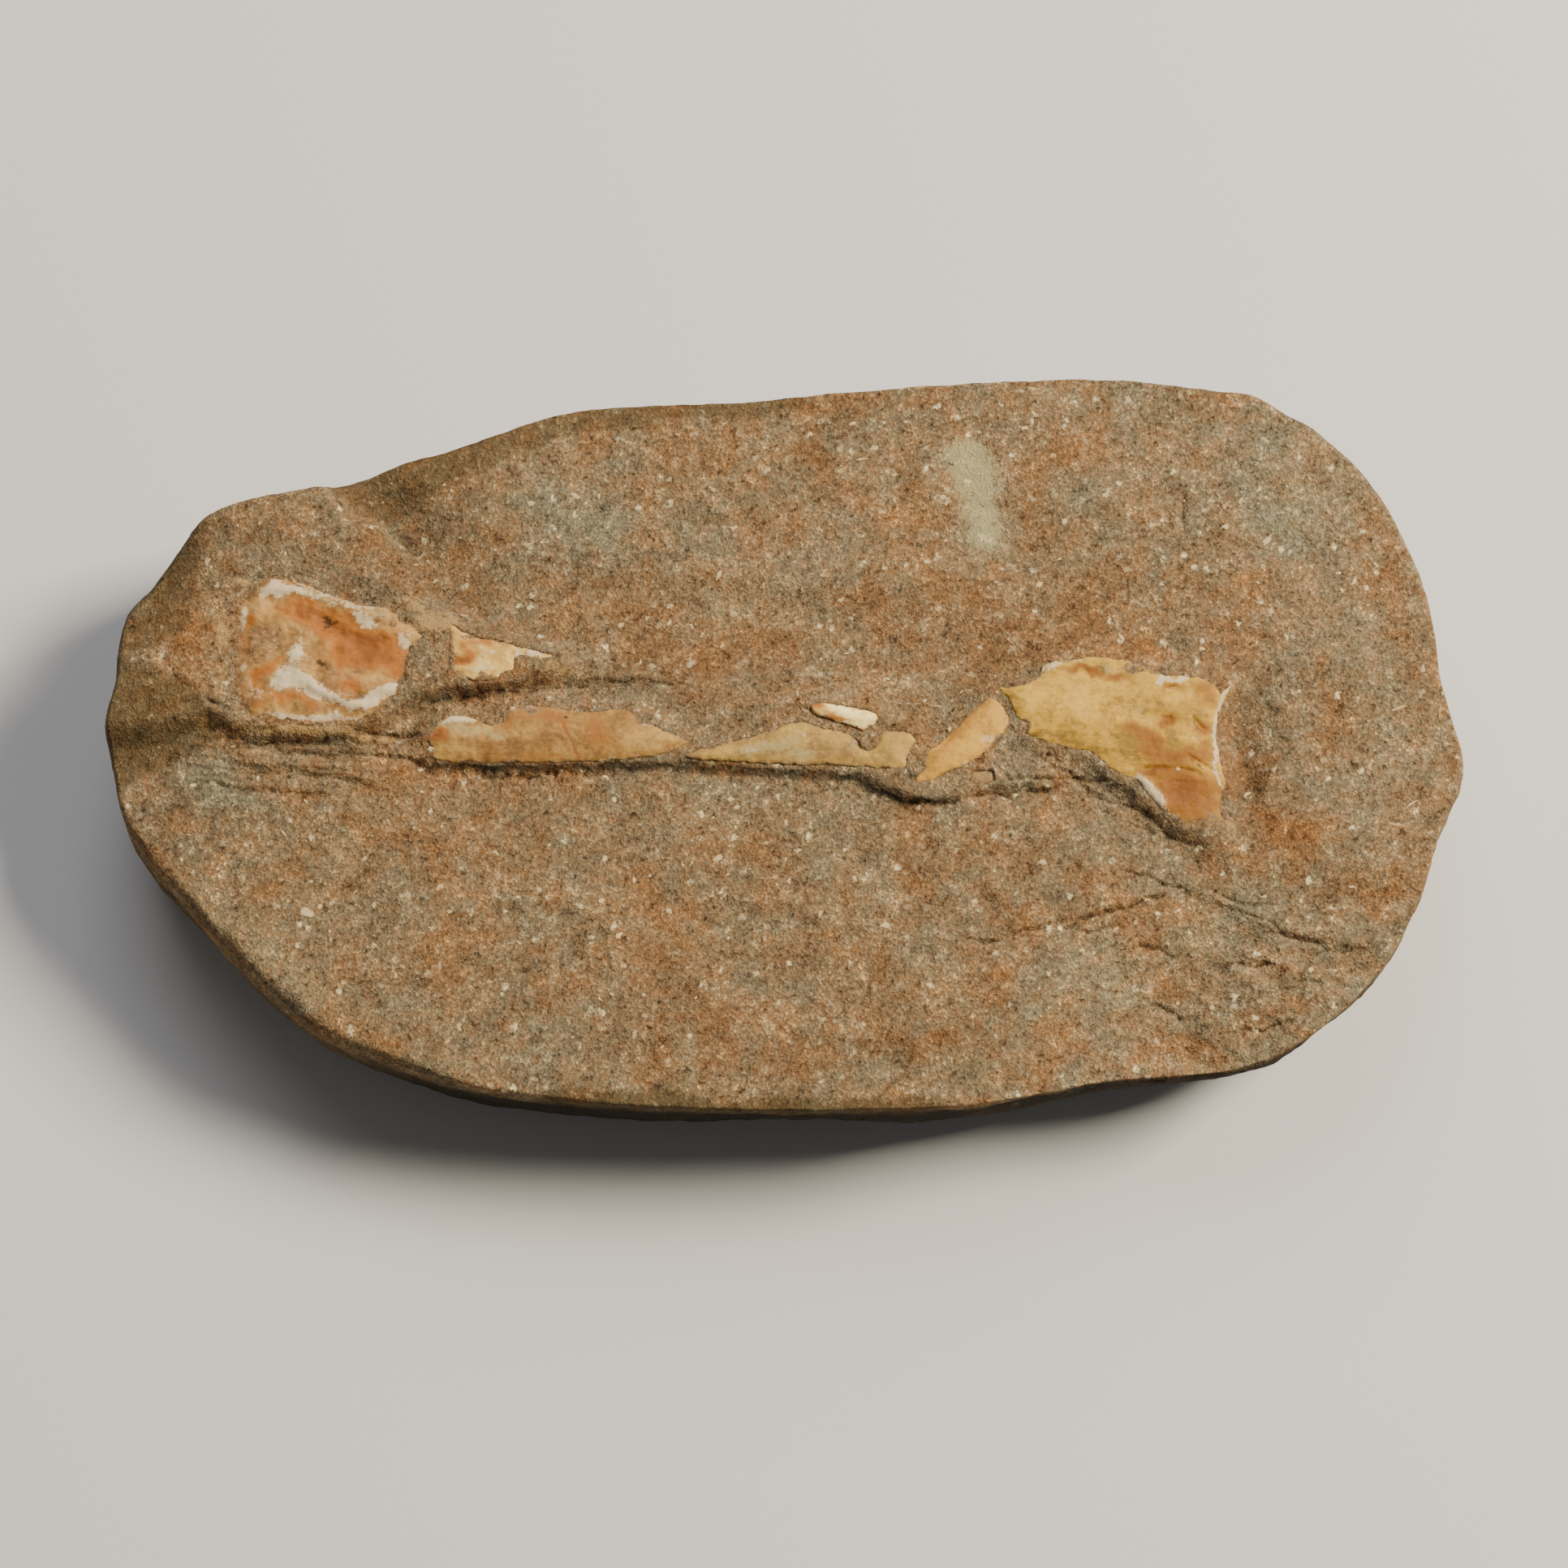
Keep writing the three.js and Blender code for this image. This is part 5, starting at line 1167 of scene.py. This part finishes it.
def sandstoneMaterial(v):
    material, tree, shader = startMaterial("split_shelly_sandstone", v["roughness"], v["specular"])
    place = addNode(tree, "TexCoord").outputs["Object"]
    inMm = addNode(tree, "VectorMath", {0: place, "Scale": 1 / mm}, operation="SCALE").outputs[0]
    colour, mosaic, clump = addGrains(tree, inMm, v)
    masks = {key: addNode(tree, "Attribute", attribute_name=key).outputs["Fac"]
             for key in ("iron", "paleAndShade", "rindAndShade", "ledgeShade", "dust")}
    rust = masks["iron"]
    for size, reach in v["rustPatches"]:
        patchy = addNode(tree, "TexNoise", {"Vector": inMm, "Scale": 1 / size, "Detail": 4.0,
                                            "Roughness": 0.62, "Distortion": 0.6}).outputs[0]
        rust = addVariation(tree, patchy, reach, rust)
    for low, high, gain in v["gains"]:
        mask = addNode(tree, "MapRange", {"Value": rust, "From Min": low, "From Max": high},
                       interpolation_type="SMOOTHSTEP").outputs["Result"]
        colour = addNode(tree, "Mix", {0: mask, 6: colour, 7: (*gain, 1)}, data_type="RGBA",
                         blend_type="MULTIPLY").outputs[2]
    torn = addNode(tree, "TexNoise", {"Vector": inMm, "Scale": 1.7, "Detail": 5.0,
                                      "Roughness": 0.75}).outputs[0]
    for key, raggedness, low, high, strength, tint in v["layers"]:
        mask = raggedMask(tree, masks[key], torn, raggedness, low, high, strength)
        colour = addNode(tree, "Mix", {0: mask, 6: colour, 7: toLinear(tint)}, data_type="RGBA").outputs[2]
    # bits of shell: a few cells of a coarse mosaic, white in their middle
    shell = v["shell"]
    sway = addNode(tree, "TexNoise", {"Vector": inMm, "Scale": 1.3, "Detail": 3.0}).outputs["Color"]
    bent = addNode(tree, "VectorMath", {0: sway, 1: (1.6, 1.6, 1.6), 2: inMm},
                   operation="MULTIPLY_ADD").outputs[0]
    cells = addNode(tree, "TexVoronoi", {"Vector": bent, "Scale": 1 / shell["size"]})
    lot = addNode(tree, "SeparateColor", {"Color": cells.outputs["Color"]}).outputs[0]
    least, sure = shell["chosen"]
    chosen = addNode(tree, "MapRange", {"Value": lot, "From Min": least, "From Max": sure}).outputs[0]
    outer, inner = shell["reach"]
    middle = addNode(tree, "MapRange", {"Value": cells.outputs["Distance"], "From Min": outer,
                                        "From Max": inner}).outputs[0]
    both = addNode(tree, "Math", {0: chosen, 1: middle}, operation="MULTIPLY").outputs[0]
    clean, onRind = shell["cleanAndOnRind"]
    shown = addNode(tree, "MapRange", {"Value": masks["rindAndShade"], "From Min": 0.1, "From Max": 0.8,
                                       "To Min": clean, "To Max": onRind}).outputs[0]
    kept = addNode(tree, "Math", {0: both, 1: shown}, operation="MULTIPLY", use_clamp=True).outputs[0]
    colour = addNode(tree, "Mix", {0: kept, 6: colour, 7: toLinear(shell["colour"])},
                     data_type="RGBA").outputs[2]
    # pores: the deepest spots of a fine noise
    pores = v["pores"]
    deep = addNode(tree, "TexNoise", {"Vector": inMm, "Scale": 1 / pores["size"], "Detail": 3.0,
                                      "Roughness": 0.7}).outputs[0]
    begin, full = pores["depth"]
    mask = addNode(tree, "MapRange", {"Value": deep, "From Min": begin, "From Max": full,
                                      "To Max": pores["strength"]}).outputs[0]
    colour = addNode(tree, "Mix", {0: mask, 6: colour, 7: toLinear(pores["colour"])},
                     data_type="RGBA").outputs[2]
    # slow light and dark of the stone, and the painted shade along the ledges and on the south flank
    darkest, lightest = v["tone"]
    tone = addNode(tree, "MapRange", {"Value": masks["paleAndShade"], "From Min": -2.6, "From Max": 1.0,
                                      "To Min": darkest, "To Max": lightest}).outputs[0]
    toned = addNode(tree, "VectorMath", {0: colour, "Scale": tone}, operation="SCALE").outputs[0]
    tree.links.new(toned, shader.inputs["Base Color"])
    lumpy = addNode(tree, "Math", {0: clump, 1: 1.6, 2: mosaic.outputs["Distance"]},
                    operation="MULTIPLY_ADD").outputs[0]
    strength, height = v["bump"]
    bump = addNode(tree, "Bump", {"Strength": strength, "Distance": height * mm, "Height": lumpy})
    tree.links.new(bump.outputs[0], shader.inputs["Normal"])
    return material


buildBlock(sandstoneMaterial(sandstone))


shells = {
    "count": 300,
    "halfLength": (0.12, 0.5),  # of the scattered ones
    "thickness": 0.05,
    "sunk": 0.35,  # depth of the underside in the stone
    "fromBone": 0.9,  # scattered ones keep this far from bone and rim
    "fromRim": 3.2,
    "corners": 9,
    "colours": ("#8a7450", "#c8b082"),  # darkest and lightest
    "placedScale": 0.75,  # of the sizes below
    "placed": [  # x, y, half length, half width, turn
        (-59.2, -22.1, 1.2, 0.8, -20), (-57.6, -21.5, 0.5, 0.4, 10), (-52.1, -15.4, 0.7, 0.4, 30),
        (-42.8, -19, 0.7, 0.4, 60), (12.5, -23.9, 0.8, 0.6, 0), (25.4, 25.7, 1.4, 0.28, -70),
        (30.7, 40.3, 0.9, 0.4, 20), (31.9, 42.1, 0.7, 0.4, -40), (11.5, 37.6, 0.8, 0.6, 0),
        (10, 36.2, 1.1, 0.22, 4), (20.1, 31.2, 0.6, 0.4, 0), (32.2, 19.7, 0.6, 0.4, 50),
        (71.1, 29.7, 1.1, 0.2, 60), (73.1, 26.6, 0.7, 0.4, 0), (77.2, 3.8, 1.3, 0.2, 20),
        (76.2, -11.2, 1.4, 0.2, -10), (78.4, -8.4, 1.1, 0.2, 35), (-8.2, 20.9, 0.9, 0.3, 70),
        (32.2, -15.9, 0.7, 0.4, 0), (-8.2, -15.5, 0.8, 0.6, 30), (-31.9, 30.2, 0.7, 0.4, 0),
        (-26.4, 31.2, 0.9, 0.4, -30), (-6.7, -7.9, 0.6, 0.5, 0), (-5.9, -8.9, 0.6, 0.3, 20),
        (13, 7.6, 0.5, 0.3, 0), (22.3, 5.6, 0.6, 0.4, 60), (-44.4, 7.4, 0.5, 0.4, 0),
        (58.1, -7.2, 0.7, 0.6, 0), (15.6, 4.15, 2.4, 0.12, 0), (19, 3.95, 1.4, 0.1, -6),
        (42.4, 12.8, 1.0, 0.3, -50), (57.8, 30.6, 0.7, 0.5, 30), (61, 25.4, 0.9, 0.5, 50),
        (46.6, 27.4, 0.7, 0.5, 0), (40.6, 31.4, 0.6, 0.5, 20), (52.6, 12.4, 0.6, 0.5, 0),
    ],
}


def shellMaterial(v):
    # weathered shell: thin calcite flakes, creamy to white, a little smoother than the sand around them
    material, tree, shader = startMaterial("weathered_shell_calcite", 0.6, 0.25)
    place = addNode(tree, "TexCoord").outputs["Object"]
    cloudy = addNode(tree, "TexNoise", {"Vector": place, "Scale": 1.6 / mm, "Detail": 3.0}).outputs[0]
    shade = addNode(tree, "Attribute", attribute_name="shade").outputs["Fac"]
    mixed = addNode(tree, "Math", {0: cloudy, 1: 0.9, 2: shade}, operation="MULTIPLY_ADD").outputs[0]
    share = addNode(tree, "MapRange", {"Value": mixed, "From Min": 0.2, "From Max": 1.2}).outputs[0]
    low, high = (toLinear(c) for c in v["colours"])
    colour = addNode(tree, "Mix", {0: share, 6: low, 7: high}, data_type="RGBA").outputs[2]
    tree.links.new(colour, shader.inputs["Base Color"])
    return material


def buildShells(v):
    tries = scatter.uniform((-84, -47), (84, 47), (3 * v["count"], 2))
    toBone = np.max([depthInside(o, *tries.T, 3) for o in boneOutlines.values()], 0)
    toRim = depthInside([tuple(p) for p in ringsOfBlock(240)[0]], *tries.T)
    chosen = tries[(toBone < -v["fromBone"]) & (toRim > v["fromRim"])][:v["count"]]
    low, high = v["halfLength"]
    halfLength = low + (high - low) * scatter.uniform(size=len(chosen)) ** 2.2
    spots = np.column_stack([chosen, halfLength, halfLength * scatter.uniform(0.2, 0.8, len(chosen)),
                             scatter.uniform(0, 180, len(chosen)), scatter.uniform(-0.3, 0.9, len(chosen))])
    scale = v["placedScale"]
    placed = [(px, py, scale * half, scale * across, turned, 0.5)
              for px, py, half, across, turned in v["placed"]]
    spots = np.concatenate([placed, spots])
    x, y, halfLength, halfWidth, turn, light = spots.T[:, :, None]
    corners = v["corners"]
    around = np.arange(corners) * 2 * math.pi / corners
    r = scatter.uniform(0.5, 1.3, (len(spots), corners))
    c, s = np.cos(np.radians(turn)), np.sin(np.radians(turn))
    along, across = halfLength * r * np.cos(around), halfWidth * r * np.sin(around)
    px, py = np.append(x + along * c - across * s, x, 1), np.append(y + along * s + across * c, y, 1)
    base = (topHeight(px.ravel(), py.ravel()) + stoneRelief(px.ravel(), py.ravel(), 0)).reshape(px.shape)
    thick = v["thickness"] * np.minimum(1, 1.6 * halfWidth + 0.3) * scatter.uniform(0.3, 1.0, px.shape)
    thick[:, -1:] += 0.3 * v["thickness"]
    points = np.concatenate([np.stack([px, py, base + thick], 2), np.stack([px, py, base - v["sunk"]], 2)], 1)
    faces = []
    for first in range(0, points.shape[0] * points.shape[1], points.shape[1]):
        under = first + corners + 1
        for k in range(corners):
            after = (k + 1) % corners
            faces += [(first + k, first + after, first + corners),
                      (under + after, under + k, under + corners),
                      (first + k, under + k, under + after, first + after)]
    shade = np.repeat(light.ravel(), points.shape[1])
    masks = {"shade": shade}
    piece = makePiece("shell_chips", points.reshape(-1, 3), faces, masks, shellMaterial(v), "sandstone")
    piece.data.polygons.foreach_set("use_smooth", [False] * len(faces))


buildShells(shells)
print("bits of shell set in")


boneMesh = {
    "step": 0.26, "rim": 0.3, "rows": 4,  # distance of its points, also along the rim, and rows down its side
    "inner": 0.16,  # least distance of inner points from the rim
    "chip": 0.36,  # how far the broken rim is chipped
    "bulge": 0.12,  # of its side
    "lumps": (1.3, 2.4),  # height for a roughness of 1, and size
    "grit": (0.06, 0.7),  # height and size
    "fibres": (0.05, 0.55, 9),  # height, width and how much longer they are
    "roundedRim": (0.05, 0.15),  # depth and width
    "sunkRim": (0.5, 0.8),  # depth for a "sunk" of 1, and width
}
boneLook = {
    "noises": {  # scale, detail, roughness and share in the tone
        "fibres": (1.0, 4.0, 0.62, 0.6), "mottle": (0.36, 6.0, 0.7, 2.5), "speck": (1.7, 5.0, 0.74, 1.1),
    },
    "stretch": (0.3, 2.0, 1.2),  # how densely the fibres change along the bone, across and down
    "steps": (0.15, 0.5, 0.9),  # where the three ground tones lie
    "layers": [  # mask, noise at its edge, raggedness, where it begins and is full, strength, colour
        ("grey", "speck", 1.6, 0.3, 0.8, 0.8, "#a8945f"),
        ("stain", "mottle", 1.8, 0.1, 1.15, 1.0, "own"),
        ("stain", "speck", 2.6, 0.9, 1.9, 0.7, "#74431c"),
        ("chalk", "speck", 2.2, 0.35, 0.75, 0.92, "#ccb892"),
        ("grime", "speck", 2.0, 0.35, 0.8, 0.8, "#3c2b17"),
        ("crust", "speck", 2.4, 0.35, 0.6, 0.97, "sand"),
    ],
    "roughness": 0.6,
    "specular": 0.2,
    "bump": (0.6, 0.14),  # strength, and height of a fibre
}
boneMasks = ("tone", "grey", "stain", "chalk", "grime", "crust")


def boneMaterial(name, turn, ground, sandGain, v):
    # fossil bone, mineral-filled and cracked clean: satin, with a fine lengthwise grain,
    # orange where iron soaked in, chalky white where it broke, sand still stuck along its edges
    material, tree, shader = startMaterial(name, v["roughness"], v["specular"])
    place = addNode(tree, "TexCoord").outputs["Object"]
    inMm = addNode(tree, "VectorMath", {0: place, "Scale": 1 / mm}, operation="SCALE").outputs[0]
    turned = addNode(tree, "Mapping", {"Vector": inMm, "Rotation": (0, 0, -math.radians(turn))}).outputs[0]
    stretched = addNode(tree, "Mapping", {"Vector": turned, "Scale": v["stretch"]}).outputs[0]
    masks = {key: addNode(tree, "Attribute", attribute_name=key).outputs["Fac"] for key in boneMasks}
    level = addNode(tree, "Math", {0: masks["tone"], 1: 0.5, 2: 0.5}, operation="MULTIPLY_ADD").outputs[0]
    noises = {}
    for key, (scale, detail, rough, share) in v["noises"].items():
        vector = stretched if key == "fibres" else inMm
        noises[key] = addNode(tree, "TexNoise", {"Vector": vector, "Scale": scale, "Detail": detail,
                                                 "Roughness": rough, "Distortion": 0.3}).outputs[0]
        level = addVariation(tree, noises[key], share, level)
    ramp = addNode(tree, "ValToRGB", {"Fac": level})
    setRamp(ramp.color_ramp, list(zip(v["steps"], ground[:3])))
    colour = ramp.outputs["Color"]
    sand = addGrains(tree, inMm, sandstone)[0]
    sand = addNode(tree, "Mix", {0: 1.0, 6: sand, 7: (*sandGain, 1)}, data_type="RGBA",
                   blend_type="MULTIPLY").outputs[2]
    paints = {"own": toLinear(ground[3]), "sand": sand}
    for key, ragged, raggedness, low, high, strength, tint in v["layers"]:
        mask = raggedMask(tree, masks[key], noises[ragged], raggedness, low, high, strength)
        paint = paints[tint] if tint in paints else toLinear(tint)
        colour = addNode(tree, "Mix", {0: mask, 6: colour, 7: paint}, data_type="RGBA").outputs[2]
    tree.links.new(colour, shader.inputs["Base Color"])
    lumpy = addNode(tree, "Math", {0: noises["fibres"], 1: 0.8, 2: noises["speck"]},
                    operation="MULTIPLY_ADD").outputs[0]
    strength, height = v["bump"]
    bump = addNode(tree, "Bump", {"Strength": strength, "Distance": height * mm, "Height": lumpy})
    tree.links.new(bump.outputs[0], shader.inputs["Normal"])
    return material


def boneHeight(x, y, v, outline, inside):
    middle = (np.max(outline, 0) + np.min(outline, 0)) / 2
    climb = np.clip(np.maximum(depthInside(outline, x, y), 0) / v["reach"], 0, 1)
    z = v["edge"] + v["tilt"][0] * (x - middle[0]) + v["tilt"][1] * (y - middle[1])
    z = z + v["crown"] * (1 - (1 - climb) ** 2) + blobs(v["lumps"], x, y) + strokes(v["lines"], x, y)
    height, size = boneMesh["lumps"]
    z = z + height * v["rough"] * fractal(x, y, 0, size, 4, 5.2)
    height, size = boneMesh["grit"]
    z = z + height * fractal(x, y, 0, size, 2, 15.2)
    a = math.radians(v["grain"])
    along, across = x * math.cos(a) + y * math.sin(a), y * math.cos(a) - x * math.sin(a)
    height, size, longer = boneMesh["fibres"]
    z = z + height * fractal(along / longer, across, 0, size, 2, 1.9)
    depth, width = boneMesh["roundedRim"]
    z = z - depth * bell(inside / width)
    depth, width = boneMesh["sunkRim"]
    return z - depth * v["sunk"] * bell(inside / width)


def boneStains(x, y, v, ragged):
    warpX = x + 1.5 * fractal(x, y, 0, 2.6, 4, 81.0)
    warpY = y + 1.5 * fractal(x, y, 0, 2.6, 4, 83.0)
    halfX, halfY = (x + warpX) / 2, (y + warpY) / 2
    masks = {key: blobs(v[key], warpX, warpY) for key in boneMasks}
    border = np.maximum(depthInside(ragged, x, y), 0)
    masks["chalk"] += strokes(v["chalkLines"], halfX, halfY) + 0.45 * bell(border / 0.3)
    masks["chalk"] += 0.45 * fractal(x, y, 0, 1.8, 3, 87.0)
    masks["stain"] = 1.25 * masks["stain"] + 0.7 * fractal(x, y, 0, 2.8, 3, 85.0)
    masks["stain"] += strokes(v["stainLines"], halfX, halfY)
    sandy = 0.45 + 0.9 * fractal(x, y, 0, 2.0, 3, 89.0)
    masks["crust"] += sandy * bell(border / v["sandWidth"])
    return masks


def buildBone(node, v):
    outline = boneOutlines[node]
    edge = walk(outline, boneMesh["rim"])
    normal = outwardNormals(edge)
    chips = fractal(*edge.T, 0, 1.6, 4, 3.1) * boneMesh["chip"]
    edge = edge + normal * chips[:, None]
    inner = jitteredGrid(edge.min(0), edge.max(0), boneMesh["step"])
    ragged = [tuple(p) for p in edge]
    inner = inner[depthInside(ragged, *inner.T) > boneMesh["inner"]]
    flat, topFaces = triangulate(edge, inner)
    x, y = flat.T
    z = boneHeight(x, y, v, outline, depthInside(ragged, x, y))
    count = len(edge)
    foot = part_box(node)[0].z / mm
    points = [np.column_stack([flat, z])]
    faces = list(topFaces)
    ring, total = list(range(count)), len(flat)
    for row in range(1, boneMesh["rows"] + 1):
        t = row / boneMesh["rows"]
        place = edge + normal * (boneMesh["bulge"] * math.sin(math.pi * t))
        points.append(np.column_stack([place, z[:count] + (foot - z[:count]) * t]))
        after = list(range(total, total + count))
        faces += wallFaces(ring, after)
        ring, total = after, total + count
    _, underFaces = triangulate(points[-1][:, :2], np.zeros((0, 2)))
    faces += [tuple(ring[i] for i in reversed(face)) for face in underFaces]
    points = np.concatenate(points)
    masks = boneStains(*points[:, :2].T, v, ragged)
    material = boneMaterial("mineralised_" + node, v["grain"], v["ground"], v["sandGain"], boneLook)
    makePiece(node.replace("bone_", "fossil_"), points, faces, masks, material, v["slot"], node)


for node, values in bones.items():
    buildBone(node, values)
print("bone fragments built")
